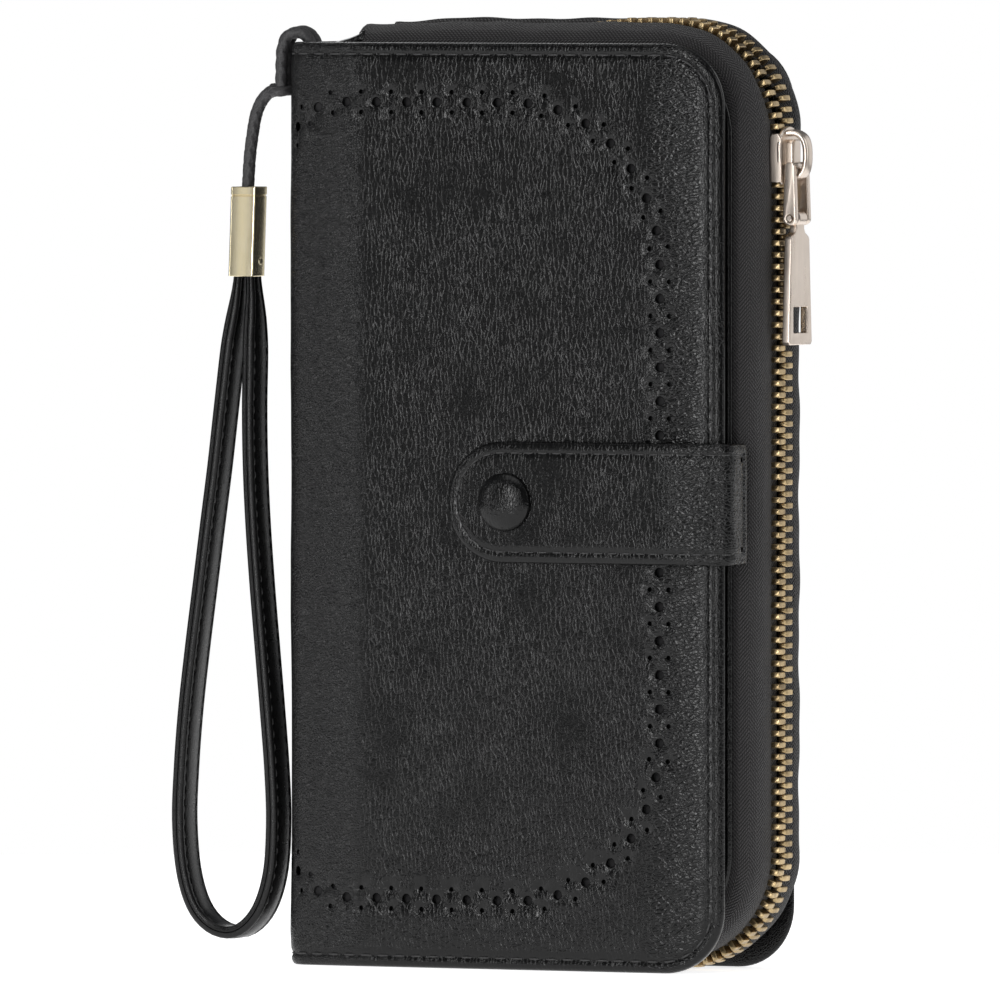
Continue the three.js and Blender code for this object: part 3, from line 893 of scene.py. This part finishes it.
def on_shell(s, z, height):
    """The covers' flat pattern, wrapped: s runs from the front's free edge, round the spine, to the back's."""
    middle = FRONT_RUN + ARC_RUN + SPINE_RUN / 2
    if height < -1.4 and s > middle:
        height = -1.4 + (height + 1.4) * 0.5
    spine_start = FRONT_RUN + ARC_RUN
    spine_end = spine_start + SPINE_RUN
    back_start = spine_end + ARC_RUN
    radius = FOLD_RADIUS + height
    centre_x = SPINE_X + FOLD_RADIUS
    if s <= FRONT_RUN:
        return (EDGE_X - s, FRONT_Y - height, z)
    if s <= spine_start:
        angle = (s - FRONT_RUN) / FOLD_RADIUS
        return (centre_x - radius * math.sin(angle), FRONT_Y + FOLD_RADIUS - radius * math.cos(angle), z)
    if s <= spine_end:
        return (SPINE_X - height, FRONT_Y + FOLD_RADIUS + (s - spine_start), z)
    if s <= back_start:
        angle = (s - spine_end) / FOLD_RADIUS
        return (centre_x - radius * math.cos(angle), BACK_Y - FOLD_RADIUS + radius * math.sin(angle), z)
    return (centre_x + (s - back_start), BACK_Y + height, z)


def shell_relief(s, z):
    """The padded cover falls away at its free edges and is never quite flat."""
    from_edge = min(s, SHELL_RUN - s)
    fall = -2.2 * max(0.0, 1 - from_edge / 16) ** 2
    ends = min(z, COVER_HEIGHT - z)
    fall -= 0.55 * max(0.0, 1 - ends / 10) ** 2
    if s < FRONT_RUN:
        fall -= max(0.0, 1 - (FRONT_RUN - s) / 17) ** 2
    else:
        fall -= smooth(1 - (s - FRONT_RUN) / 9)
    soft = noise.noise(Vector((s * 0.035, z * 0.028, 3.1))) * 0.34
    soft += noise.noise(Vector((s * 0.1, z * 0.085, 7.7))) * 0.11
    return max(fall, -2.3) + (soft - 0.22) * smooth(from_edge / 14) * smooth(ends / 12)


def perforations():
    """Big and small holes along a rounded rectangle on the front, which bends down at the spine side."""
    low, high, left, right = 14.3, 178.7, -37.6, 36.0
    bend, left_bend = 33.0, 15.0
    pitch, big, small, small_off = 7.07, 0.92, 0.45, 2.1
    path = []
    for k in range(9):
        a = math.radians(76 - 76 * k / 8)
        path.append((left - left_bend * math.sin(a), high - left_bend + left_bend * math.cos(a)))
    path.append((right - bend, high))
    for k in range(1, 17):
        a = math.radians(90 * k / 16)
        path.append((right - bend + bend * math.sin(a), high - bend + bend * math.cos(a)))
    path = path + [(x, low + high - z) for x, z in reversed(path)]
    run = run_along(path)
    columns = np.array(path).T

    def at(d):
        return Vector([float(np.interp(d, run, column)) for column in columns])

    count = round(run[-1] / pitch)
    step = run[-1] / count
    holes = [(EDGE_X - at(k * step).x, at(k * step).y, big, 14) for k in range(count + 1)]
    for k in range(count):
        d = (k + 0.5) * step
        ahead = (at(d + 1) - at(d - 1)).normalized()
        for side in (-small_off, small_off):
            holes.append((EDGE_X - (at(d).x - side * ahead.y), at(d).y + side * ahead.x, small, 9))
    return holes


TURNED_EDGE = [  # (inset from the edge, height, share of the relief): groove, bead, edge, flap, underside
    (4.2, 0.0, 1), (3.3, -0.03, 1), (2.85, -0.2, 1), (2.55, -0.36, 1), (2.3, -0.36, 1), (2.0, -0.16, 1),
    (1.55, 0.02, 1), (1.05, 0.04, 1), (0.6, -0.1, 1), (0.25, -0.42, 0.9), (0.05, -0.95, 0.8), (0.0, -1.6, 0.6),
    (0.02, -2.4, 0.45), (0.12, -3.2, 0.25), (0.45, -3.85, 0.1), (1.0, -4.15, 0), (1.8, -4.2, 0), (4.9, -4.2, 0),
    (5.3, -3.95, 0), (4.9, -3.6, 0), (1.9, -3.55, 0), (1.45, -3.3, 0), (1.4, -2.4, 0.1), (1.7, -1.7, 0.2),
    (2.4, -1.45, 0.2), (3.2, -1.4, 0.2),
]


def build_shell():
    loop = rounded_loop(0, SHELL_RUN, 0, COVER_HEIGHT, (COVER_CORNER, COVER_CORNER), 2.0)
    arcs = FRONT_RUN, FRONT_RUN + ARC_RUN + SPINE_RUN
    columns = evenly(5, 20, 1.5) + evenly(22.5, FRONT_RUN - 2, 3.0)
    columns += evenly(FRONT_RUN - 1, FRONT_RUN + ARC_RUN + 1, 0.7)
    columns += evenly(arcs[0] + ARC_RUN + 3, arcs[1] - 2, 3.0)
    columns += evenly(arcs[1] - 1, arcs[1] + ARC_RUN + 1, 0.7)
    columns += evenly(arcs[1] + ARC_RUN + 3, SHELL_RUN - 22, 3.0) + evenly(SHELL_RUN - 20, SHELL_RUN - 5, 1.5)
    snap_hole = (EDGE_X - SNAP_X, TAB_Z, 1.5, 16)
    shell = leather_sheet("cover_shell", loop, TURNED_EDGE, on_shell, columns, 3.0,
                          [*perforations(), snap_hole], shell_relief, 0.2)
    finish_piece(shell, COVER, "cover_leather", None,
                 ["front_cover_leather", "spine_leather", "back_cover_leather"])
    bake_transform(shell)

    path, normals = [], []
    for at in loop:
        ps, pz = at(2.42)
        base = Vector(on_shell(ps, pz, -0.3 + shell_relief(ps, pz)))
        above = Vector(on_shell(ps, pz, 0.7 + shell_relief(ps, pz)))
        path.append(base)
        normals.append(above - base)
    path.append(path[0])
    normals.append(normals[0])
    seams = stitches("cover_stitches", [(path, normals)], pitch=3.9, share=0.8, radius=0.25, lift=0.0)
    finish_piece(seams, THREAD, "cover_leather")
    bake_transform(seams)


build_shell()


# ---------------------------------------------------------------- flat layers inside the covers
def flat_on(y, facing):
    """Puts a pattern on a plane: s is x, and height grows along facing (-1 towards the front)."""
    return lambda s, z, height: (s, y + facing * height, z)


def layer(name, box, radii, y, facing, t, material, slot, body, replaced, edge=0.35, relief=None,
          groove=0.0, hole=None):
    """A flat layer of thickness t with a soft edge, and a stitch groove where one is wanted."""
    x0, x1, _, _ = box
    loop = rounded_loop(*box, radii, 2.5)
    profile = [(max(3.4, groove + 1), 0.0, 1)]
    if groove:
        profile += [(groove + 0.45, -0.02, 1), (groove + 0.15, -0.2, 1), (groove - 0.15, -0.2, 1),
                    (groove - 0.5, 0.0, 1)]
    profile += [(edge * 1.4, 0.0, 1), (edge * 0.5, -0.12 * t, 0.9), (0.02, -0.38 * t, 0.7), (0.02, -0.62 * t, 0.3),
                (edge * 0.5, -0.9 * t, 0), (edge * 1.4, -t, 0), (3.0, -t, 0)]
    columns = evenly(x0 + 5, x1 - 5, 5.0)
    holes = [hole] if hole else ()
    piece = leather_sheet(name, loop, profile, flat_on(y, facing), columns, 5.0, holes, relief)
    return finish_piece(piece, material, slot, body, replaced), loop


def seam_on(name, loop, inset, y, facing, slot, body, pitch, relief=lambda s, z: 0.0):
    """Stitches along a layer's edge."""
    spots = [at(inset) for at in loop]
    path = [Vector((s, y + facing * (relief(s, z) - 0.12), z)) for s, z in spots]
    path.append(path[0])
    seams = stitches(name, [(path, [Vector((0, facing, 0))] * len(path))], pitch=pitch, radius=0.2, lift=0.02)
    return finish_piece(seams, THREAD, slot, body)


def build_inner_cover():
    """The front cover's board, its lining, and three card pockets, each reaching less far than the last."""
    board_box = (-47.0, 47.5, 2.0, COVER_HEIGHT - 2)
    layer("cover_board_front", board_box, (1, 10.5), -17.75, -1, 0.9, BOARD, "board", "front_cover",
          ["front_cover_board"], hole=(SNAP_X, TAB_Z, 4.2, 20))
    layer("cover_lining_front", board_box, (1, 10.5), -16.1, 1, 0.5, LINING, "lining", "front_cover",
          ["front_cover_lining"])
    for index, mouth in enumerate((34.0, 22.0, 10.0)):
        y = -15.3 + 0.8 * index
        box = (-44.8, mouth, 6.2, COVER_HEIGHT - 6.2)
        number = str(index + 1)
        _, loop = layer("card_pocket_leather_" + number, box, (1, 1.5), y, 1, 0.5, PANEL, "panel_leather",
                        "front_cover", ["card_pocket_" + number], groove=2.0)
        seam_on("card_pocket_stitches_" + number, loop, 2.0, y, 1, "panel_leather", "front_cover", pitch=3.4)


def panel_relief(s, z):
    edge = min(CREST_X - PANEL_INSET - s, z - 6, CREST_HEIGHT - PANEL_INSET - z)
    return -0.3 * max(0.0, 1 - edge / 7) ** 2


def build_pouch():
    """The pouch's two leather panels, and new materials for the CAD parts that stay as they are."""
    box = (-46.0, CREST_X - PANEL_INSET, CREST_LOW + PANEL_INSET, CREST_HEIGHT - PANEL_INSET)
    radii = (1.5, CREST_CORNER - PANEL_INSET)
    for side, y, facing in (("front", PANEL_Y, -1), ("back", PANEL_BACK_Y, 1)):
        _, loop = layer("pouch_leather_" + side, box, radii, y, facing, PANEL_LEATHER, PANEL, "panel_leather",
                        "pouch", ["pouch_" + side + "_panel"], edge=0.6, relief=panel_relief, groove=2.3)
        seam_on("pouch_stitches_" + side, loop, 2.3, y, facing, "panel_leather", "pouch", 3.6, panel_relief)
    for name, material in (("pouch_spine_gusset", PANEL), ("pouch_divider_front", LINING),
                           ("pouch_divider_back", LINING), ("spine_board", BOARD), ("back_cover_board", BOARD),
                           ("cord_anchor", THREAD)):
        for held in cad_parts[name].material_slots:
            held.material = material


build_inner_cover()
build_pouch()


# ---------------------------------------------------------------- zip: tapes, teeth, ends
def zip_line(step, inset=0.0):
    """Stations along the zip, and its length: (distance, x, z, outward x, outward z).

    It runs from the end at the top, down the free side, to the end at the bottom.
    """
    middle = (CREST_HEIGHT + CREST_LOW) / 2
    corner_x = CREST_X - CREST_CORNER
    run = corner_x - ZIP_START_X
    drop = CREST_HEIGHT - CREST_LOW - 2 * CREST_CORNER
    bend = math.pi / 2 * CREST_CORNER
    half = run + bend + drop / 2
    stations = []
    for along in evenly(0, 2 * half, step):
        d = min(along, 2 * half - along)
        if d < run:
            x, rise, nx, nz = ZIP_START_X + d, drop / 2 + CREST_CORNER, 0.0, 1.0
        elif d < run + bend:
            a = (d - run) / CREST_CORNER
            x, rise = corner_x + CREST_CORNER * math.sin(a), drop / 2 + CREST_CORNER * math.cos(a)
            nx, nz = math.sin(a), math.cos(a)
        else:
            x, rise, nx, nz = CREST_X, half - d, 1.0, 0.0
        sign = -1 if along > half else 1
        stations.append((along, x - nx * inset, middle + sign * (rise - nz * inset), nx, sign * nz))
    return stations, 2 * half


def slider_run():
    """How far along the zip the slider stands."""
    run = CREST_X - CREST_CORNER - ZIP_START_X + math.pi / 2 * CREST_CORNER
    return run + (CREST_HEIGHT - CREST_CORNER) - SLIDER_Z


def gape(along):
    """How far each row of teeth stands from the middle: the zip is open from its start to the slider."""
    return 1.35 * smooth((slider_run() - 1 - along) / 13) * smooth(along / 16)


def sink(along):
    """Along the top the open rows lie down between the tapes, which stand above them."""
    return 2.0 * (1 - smooth((along - 40) / 22))


def build_tapes():
    """Two cloth tapes that bulge between the chain and the pouch's panels."""
    stations, _ = zip_line(1.2)
    for side, sign in (("front", -1), ("back", 1)):
        rings = []
        for along, x, z, nx, nz in stations:
            open_by, low = gape(along), sink(along)
            wave = 0.14 * math.sin(along * 0.21 + sign) + 0.09 * math.sin(along * 0.53)
            swell = 0.5 * open_by + (0.5 if side == "back" else -0.2)
            outer = [
                (1.75 + low, 0.55 + open_by), (1.7 + low, 1.3 + open_by), (1.8 + low * 0.9, 2.7 + open_by),
                (1.55 + low * 0.4 - 0.3 * swell, 4.0 + open_by * 0.7),
                (1.25 - swell * 0.8 + wave, 5.6 + open_by * 0.4),
                (1.3 - swell + wave, 7.4), (1.9 - swell + wave, 9.2), (3.1 - swell * 0.7 + wave, 10.9),
                (4.7 - swell * 0.3, 12.0), (6.3, 12.5),
            ]
            inner = [(d + 0.75, max(h - 0.15, 0.6 + open_by)) for d, h in reversed(outer)]
            rings.append([
                (x - nx * depth, CHAIN_Y + sign * off, z - nz * depth) for depth, off in outer + inner
            ])
        tape = make_piece("zip_tape_twill_" + side, *sweep(rings))
        finish_piece(tape, TWILL, "zip_tape", "pouch", ["zip_tape_" + side])
        split_sharp(tape, 60)


def tooth_shape(sign):
    """One tooth in (depth outward, off the middle plane, along the zip), as rings from its tail to its head."""
    rings = []
    for off, half, top, low in ((3.05, 0.42, 0.30, -1.5), (2.9, 0.56, 0.46, -1.7), (1.5, 0.58, 0.5, -1.8),
                                (0.55, 0.56, 0.46, -1.7), (0.05, 0.5, 0.34, -1.5), (-0.42, 0.44, 0.1, -1.2),
                                (-0.62, 0.3, -0.15, -0.9)):
        trim = min(0.16, half * 0.4)
        y = off * sign
        rings.append([(low, y, -half), (top - trim, y, -half), (top, y, -half + trim), (top, y, half - trim),
                      (top - trim, y, half), (low, y, half)])
    return rings


def build_teeth():
    """Two rows of teeth, the back row half a pitch on from the front row."""
    first = 1.6
    line, total = zip_line(0.3)
    run, *columns = np.array(line).T
    for side, sign, phase in (("front", -1, 0.0), ("back", 1, 0.5)):
        shape = tooth_shape(sign)
        sides = len(shape[0])
        points, faces = [], []
        for index in range(int((total - 3) / TOOTH_PITCH)):
            along = first + (index + phase) * TOOTH_PITCH
            x, z, nx, nz = (float(np.interp(along, run, column)) for column in columns)
            reach = math.hypot(nx, nz)
            nx, nz = nx / reach, nz / reach
            rise = 0.05 * math.sin(index * 2.7 + phase) - sink(along) - 0.3
            y = CHAIN_Y + sign * gape(along)
            base = len(points)
            points += [
                (x + nx * (depth + rise) + nz * run_on, y + off, z + nz * (depth + rise) - nx * run_on)
                for ring in shape for depth, off, run_on in ring
            ]
            faces += ring_quads(base, len(shape), sides)
            faces += [ring_cap(base, sides), ring_cap(len(points) - sides, sides)]
        teeth = make_piece("zip_teeth_row_" + side, points, faces)
        finish_piece(teeth, BRASS, "zip_brass", "pouch", ["zip_teeth_" + side])
        split_sharp(teeth, 38)


def build_ends():
    """Folded leather pieces that close the two ends of the zip beside the spine."""
    half_width, depth, sides = 12.1, 5.75, 28
    rises = [(-46.0, -1.2), (-44.5, -0.6), (-42, -0.1), (-40, 0.35), (-38.3, 0.9), (-37.0, 1.5), (-36.6, 1.0)]
    angles = [2 * math.pi * k / sides for k in range(sides)]
    for name, middle, up in (("top", CREST_HEIGHT - depth, 1), ("bottom", CREST_LOW + depth, -1)):
        rings = []
        for x, rise in rises:
            half = 1.5 + 0.25 * rise
            rings.append([
                (x, CHAIN_Y + half_width * squared(a, 0.35)[0], middle + half * squared(a, 0.6)[1] + up * rise)
                for a in angles
            ])
        cap = make_piece("zip_end_leather_" + name, *sweep(rings))
        finish_piece(cap, PANEL, "panel_leather", "pouch", ["zip_end_cap_" + name])
        split_sharp(cap, 55)


build_tapes()
build_teeth()
build_ends()


# ---------------------------------------------------------------- slider and pull
def facing_out(x, z):
    """Puts an outline drawn in (y, z) at x and z, facing out along +X."""
    return Matrix(((0, 0, 1, x), (1, 0, 0, CHAIN_Y), (0, 1, 0, z), (0, 0, 0, 1)))


def facing_back(x, y, z):
    """Puts an outline drawn in (x, z) there, facing along +Y."""
    return Matrix(((1, 0, 0, x), (0, 0, 1, y), (0, 1, 0, z), (0, 0, 0, 1)))


def mirrored(half):
    """A closed outline from its left half, which is listed from the top down."""
    return half + [(-a, b) for a, b in reversed(half)]


def build_slider():
    """A plate with a domed top, a flange each side, a raised block, and the arch that stands over it."""
    half_turn = [math.pi * k / 40 for k in range(41)]
    dome = [(4.6 * math.cos(a), 1.2 + 4.7 * math.sin(a) ** 0.8) for a in half_turn]
    waist = mirrored([(-4.5, -1.2), (-4.1, -3.6), (-3.9, -5.4), (-3.4, -6.0)])
    parts = [curve_plate("slider_plate", [dome + waist], 1.0, 0.35, facing_out(PLATE_X - 0.5, SLIDER_Z))]
    flange = [(-1.7, -5.6), (0.9, -5.6), (0.9, 3.4), (0.2, 4.4), (-1.2, 4.4), (-1.7, 3.6)]
    for y in (CHAIN_Y - 4.05, CHAIN_Y + 4.05):
        side = facing_back(CREST_X + 0.2, y, SLIDER_Z)
        parts.append(curve_plate("slider_flange", [flange], 0.8, 0.2, side))
    block = [(-1.9, -2.6), (1.9, -2.6), (1.9, 1.8), (1.2, 2.6), (-1.2, 2.6), (-1.9, 1.8)]
    parts.append(curve_plate("slider_block", [block], 1.9, 0.35, facing_out(PLATE_X + 0.55, SLIDER_Z + 0.6)))
    slider = join_pieces("slider_body_cast", parts)
    finish_piece(slider, NICKEL, "slider_metal", "zip_slider", ["slider_body"])

    arch = [(-0.9, 4.3), (0.5, 4.6), (1.9, 4.4), (3.1, 3.6), (3.75, 2.2), (3.95, 0.3), (3.85, -1.8), (3.3, -3.5),
            (2.3, -4.3), (1.0, -4.4), (-0.9, -4.2)]
    line = smooth_path([(PLATE_X + dx, CHAIN_Y, SLIDER_Z + dz) for dx, dz in arch], 60)
    last, sides, half_thick = len(line) - 1, 20, 0.68
    section = [squared(2 * math.pi * (k + 0.5) / sides, 0.7) for k in range(sides)]
    across = Vector((0, 1, 0))
    rings = []
    for i, p in enumerate(line):
        ahead = (Vector(line[min(i + 1, last)]) - Vector(line[max(i - 1, 0)])).normalized()
        out = ahead.cross(across)
        width = 1.5 + 0.9 * (2 * abs(i / last - 0.5)) ** 2
        rings.append([tuple(Vector(p) + across * (width * a) + out * (half_thick * b)) for a, b in section])
    bail = make_piece("slider_arch", *sweep(rings))
    finish_piece(bail, NICKEL, "slider_metal", "zip_slider", ["slider_bail"])


def build_pull():
    """A link of two arms and a bar under the arch, a rivet through the arms' ends, and the tab on the rivet."""
    half_turn = [math.pi * k / 12 for k in range(13)]
    arm = [(1.15 * math.cos(a), 0.2 + 0.9 * math.sin(a)) for a in half_turn]
    arm += [(-1.55 * math.cos(a), -10.6 - 1.35 * math.sin(a)) for a in half_turn]
    pin_hole = circle(0.72, 20, (0, -10.5))
    arms = []
    for y in (CHAIN_Y - 2.95, CHAIN_Y + 2.95):
        side = facing_back(CROSSBAR_X, y, CROSSBAR_Z)
        arms.append(curve_plate("pull_arm", [arm, pin_hole], 1.3, 0.28, side))
    along_bar = np.linspace(-3.1, 3.1, 15)
    bar = [(CROSSBAR_X, CHAIN_Y + y, CROSSBAR_Z + 0.35 * math.cos(y * 0.9)) for y in along_bar]
    rings = tube_rings(bar, lambda i, share: circle(0.72, 18))
    arms.append(make_piece("pull_bar", *sweep(rings)))
    link = join_pieces("pull_link_fork", arms)
    finish_piece(link, NICKEL, "slider_metal", "pull_link", ["pull_link"])

    pin_at = (CROSSBAR_X, CHAIN_Y, PIN_Z)
    rivet = [(0.02, -3.95), (0.5, -3.95), (0.66, -3.8), (0.66, 3.8), (0.5, 3.95), (0.02, 3.95)]
    rings = turned(rivet, pin_at, (0, 1, 0), 24)
    pin = make_piece("pull_pin_rivet", *sweep(rings))
    finish_piece(pin, NICKEL, "slider_metal", "pull_link", ["pull_pin"])
    split_sharp(pin, 40)

    blade = mirrored([(-1.75, 1.2), (-1.75, -2.0), (-2.2, -2.9), (-3.8, -3.7), (-4.15, -4.3), (-5.3, -25.4),
                      (-4.8, -26.0)])
    window = mirrored([(-3.0, -18.2), (-3.2, -18.4), (-3.2, -23.3), (-3.0, -23.5)])
    tab = curve_plate("pull_tab_plate", [blade, window], 1.75, 0.3, facing_out(CROSSBAR_X, PIN_Z))
    knuckle = [(0.84, -1.85), (1.35, -1.85), (1.6, -1.6), (1.6, 1.6), (1.35, 1.85), (0.84, 1.85)]
    ring = make_piece("pull_knuckle", *sweep(turned(knuckle, pin_at, (0, 1, 0), 28), closed_path=True))
    split_sharp(ring, 40)
    tab = join_pieces("pull_tab_plate", [tab, ring])
    finish_piece(tab, NICKEL, "slider_metal", "pull_tab", ["pull_tab"])


build_slider()
build_pull()


# ---------------------------------------------------------------- snap tab and snap
TAB_BEND = 3.0
TAB_FRONT_RUN = TAB_SIDE_X - TAB_BEND - TAB_LEFT
TAB_ARC = TAB_BEND * math.pi / 2


def on_tab(s, z, height):
    """The tab's flat pattern, wrapped round the free edge: s runs from its round end to its root."""
    radius = TAB_BEND + height
    centre_x, centre_y = TAB_SIDE_X - TAB_BEND, TAB_FRONT_Y + TAB_BEND
    past_front = s - TAB_FRONT_RUN
    if past_front <= 0:
        return (TAB_LEFT + s, TAB_FRONT_Y - height, z)
    if past_front <= TAB_ARC:
        a = past_front / TAB_BEND
        return (centre_x + radius * math.sin(a), centre_y - radius * math.cos(a), z)
    return (TAB_SIDE_X + height, centre_y + (past_front - TAB_ARC), z)


def build_tab():
    """The tab in one piece with its lining and root, and its stitches."""
    front = TAB_FRONT_RUN
    length = front + TAB_ARC + (TAB_ROOT_Y - (TAB_FRONT_Y + TAB_BEND))
    low, high = TAB_Z - TAB_HALF, TAB_Z + TAB_HALF
    loop = rounded_loop(0, length, low, high, (TAB_HALF - 0.01, 0.6), 1.5)

    def relief(s, z):
        edge = min(s, z - low, high - z)
        towards_bend = smooth((s - (front - 13)) / 14) * (1 - smooth((s - front - 1) / (TAB_BEND * 1.5)))
        waves = 0.1 * noise.noise(Vector((s * 0.15, z * 0.12, 1.3)))
        return waves - 0.3 * max(0.0, 1 - edge / 4) ** 2 - 1.2 * towards_bend

    profile = [
        (3.8, 0.0, 1), (2.8, -0.02, 1), (2.45, -0.2, 1), (2.2, -0.2, 1), (1.85, -0.02, 1), (1.2, 0.05, 1),
        (0.9, -0.02, 1), (0.45, -0.1, 0.9), (0.12, -0.4, 0.8), (0.0, -0.85, 0.6), (0.02, -1.1, 0.4), (0.3, -1.2, 0.2),
        (0.45, -1.25, 0), (0.45, -1.4, 0), (0.2, -1.5, 0), (0.1, -1.9, 0), (0.3, -2.35, 0), (0.9, -2.5, 0),
        (3.4, -2.5, 0),
    ]
    columns = evenly(4, front - 3, 2.5) + evenly(front - 1, front + TAB_ARC + 1, 0.6)
    columns += evenly(front + 8, length - 4, 2.0)
    snap_hole = (SNAP_X - TAB_LEFT, TAB_Z, 1.4, 18)
    tab = leather_sheet("snap_tab_leather", loop, profile, on_tab, columns, 2.5, [snap_hole], relief, 0.15)
    finish_piece(tab, TAB, "cover_leather", None, ["tab_leather", "tab_lining", "tab_root"])
    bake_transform(tab)

    path, normals = [], []
    for at in loop:
        ps, pz = at(2.3)
        if ps > length - 3.6:
            continue
        base = Vector(on_tab(ps, pz, -0.16 + relief(ps, pz)))
        path.append(base)
        normals.append(Vector(on_tab(ps, pz, 0.84)) - Vector(on_tab(ps, pz, -0.16)))
    turn = max(range(len(path)), key=lambda i: (path[i - 1] - path[i]).length)
    path, normals = path[turn:] + path[:turn], normals[turn:] + normals[:turn]
    seams = stitches("snap_tab_stitches", [(path, normals)], pitch=3.2, share=0.78, radius=0.2, lift=0.0)
    finish_piece(seams, THREAD, "cover_leather")
    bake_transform(seams)


def turned_piece(name, profile, y, sides, material, slot, body, replaced, sharp, closed=False):
    """A piece of the snap, turned about the snap's axis from (radius, depth from y) points."""
    rings = turned(profile, (SNAP_X, y, TAB_Z), (0, 1, 0), sides)
    piece = make_piece(name, *sweep(rings, closed_path=closed))
    finish_piece(piece, material, slot, body, replaced)
    split_sharp(piece, sharp)
    return piece


def build_snap():
    """A leather-covered cap drawn in under its rim, the socket behind it, and the stud on the cover."""
    cap_y = TAB_FRONT_Y + 0.02
    dome = [(0.02, -2.75), (1.0, -2.72), (2.0, -2.62), (3.0, -2.44), (3.9, -2.16), (4.7, -1.8), (5.35, -1.36),
            (5.8, -0.9), (6.0, -0.5), (5.98, -0.22), (5.8, -0.04), (5.4, 0.0), (1.25, 0.0), (1.25, 1.6), (0.02, 1.6)]
    cap = turned_piece("snap_cap_leather", dome, cap_y, 64, TAB, "cover_leather", "snap_tab", ["snap_cap"],
                       60)
    flat, centre, stretch = cap.data.uv_layers["flat"].data, place(SNAP_X, cap_y, TAB_Z), 1.2
    for loop in cap.data.loops:
        at = cap.data.vertices[loop.vertex_index].co - centre
        flat[loop.index].uv = (at.x * stretch, at.z * stretch)
    socket = [(2.75, -1.25), (3.0, -1.45), (3.9, -1.45), (4.1, -1.3), (4.1, -0.5), (3.9, -0.3), (3.0, -0.3),
              (2.75, -0.5)]
    turned_piece("snap_socket_ring", socket, FRONT_Y, 40, BRASS, "snap_metal", "snap_tab", ["snap_socket"], 35,
                 closed=True)
    stud = [(0.02, -1.05), (1.6, -1.05), (2.1, -0.95), (2.4, -0.7), (2.3, -0.4), (1.9, -0.3), (1.2, -0.3), (1.2, 1.7),
            (3.4, 1.7), (3.6, 1.9), (3.5, 2.25), (3.0, 2.4), (0.02, 2.4)]
    turned_piece("snap_stud_post", stud, FRONT_Y, 40, BRASS, "snap_metal", "front_cover", ["snap_stud"], 35)


build_tab()
build_snap()


# ---------------------------------------------------------------- floor and light
def build_stage():
    """A round pale floor."""
    radius, sides, rings, middle = 0.55, 64, 12, place(0, 0, 0)
    points = [
        (x, y, 0)
        for ring in range(rings + 1)
        for x, y in circle(radius * ring / rings, sides, (middle.x, middle.y))
    ]
    mesh = bpy.data.meshes.new("floor")
    mesh.from_pydata(points, [], ring_quads(0, rings + 1, sides))
    floor = add_object("floor", mesh)
    s = Shading("floor_paper")
    speck = s.noise(s.coords(False), 40.0, 3.0)
    colour = s.ramp(speck, [(0.3, (0.86, 0.86, 0.86)), (0.7, (0.9, 0.9, 0.9))])
    floor.data.materials.append(s.surface(None, Base_Color=colour, Roughness=0.8, Specular_IOR_Level=0.2,
                                          Emission_Color=grey(1.0), Emission_Strength=0.8))


def area_light(name, azimuth, elevation, distance, width, height, power):
    """A soft box that looks at the middle of the wallet, with sizes in metres and power in watts."""
    away = direction(azimuth, elevation)
    data = bpy.data.lights.new(name, "AREA")
    data.shape = "RECTANGLE"
    data.size, data.size_y = width, height
    data.energy = power
    light = add_object(name, data)
    light.location = place(0, 0, WALLET_MIDDLE) + away * distance
    look_along(light, away)


def build_world():
    """A white surround for the camera, and a dim one that lights the wallet."""
    world = bpy.data.worlds.new("studio")
    world.use_nodes = True
    tree = world.node_tree
    tree.nodes.clear()
    seen = tree.nodes.new("ShaderNodeBackground")
    seen.inputs["Color"].default_value = (1, 1, 1, 1)
    lit = tree.nodes.new("ShaderNodeBackground")
    lit.inputs["Color"].default_value = (0.9, 0.92, 0.95, 1)
    lit.inputs["Strength"].default_value = 0.14
    path = tree.nodes.new("ShaderNodeLightPath")
    mix = tree.nodes.new("ShaderNodeMixShader")
    out = tree.nodes.new("ShaderNodeOutputWorld")
    tree.links.new(path.outputs["Is Camera Ray"], mix.inputs[0])
    tree.links.new(lit.outputs[0], mix.inputs[1])
    tree.links.new(seen.outputs[0], mix.inputs[2])
    tree.links.new(mix.outputs[0], out.inputs[0])
    bpy.context.scene.world = world


build_stage()
build_world()
WALLET_MIDDLE = 95
area_light("key_front", -3, 10, 1.6, 0.2, 1.6, 12)
area_light("bend_front", 16, 10, 1.6, 0.3, 1.4, 3)
area_light("front_left", -29, 1, 1.6, 0.3, 0.6, 0.35)
area_light("side_left", -54, 10, 1.6, 0.2, 1.4, 4)
area_light("side_right", 100, 20, 1.5, 0.6, 1.2, 5)
area_light("back_right", 153, 12, 1.8, 1.2, 1.3, 4)
area_light("top_soft", 10, 80, 1.5, 1.2, 1.2, 5)
area_light("back_left", 225, 25, 1.8, 1.0, 1.2, 5)
bpy.context.scene.view_settings.view_transform = "Standard"
bpy.context.scene.view_settings.look = "None"
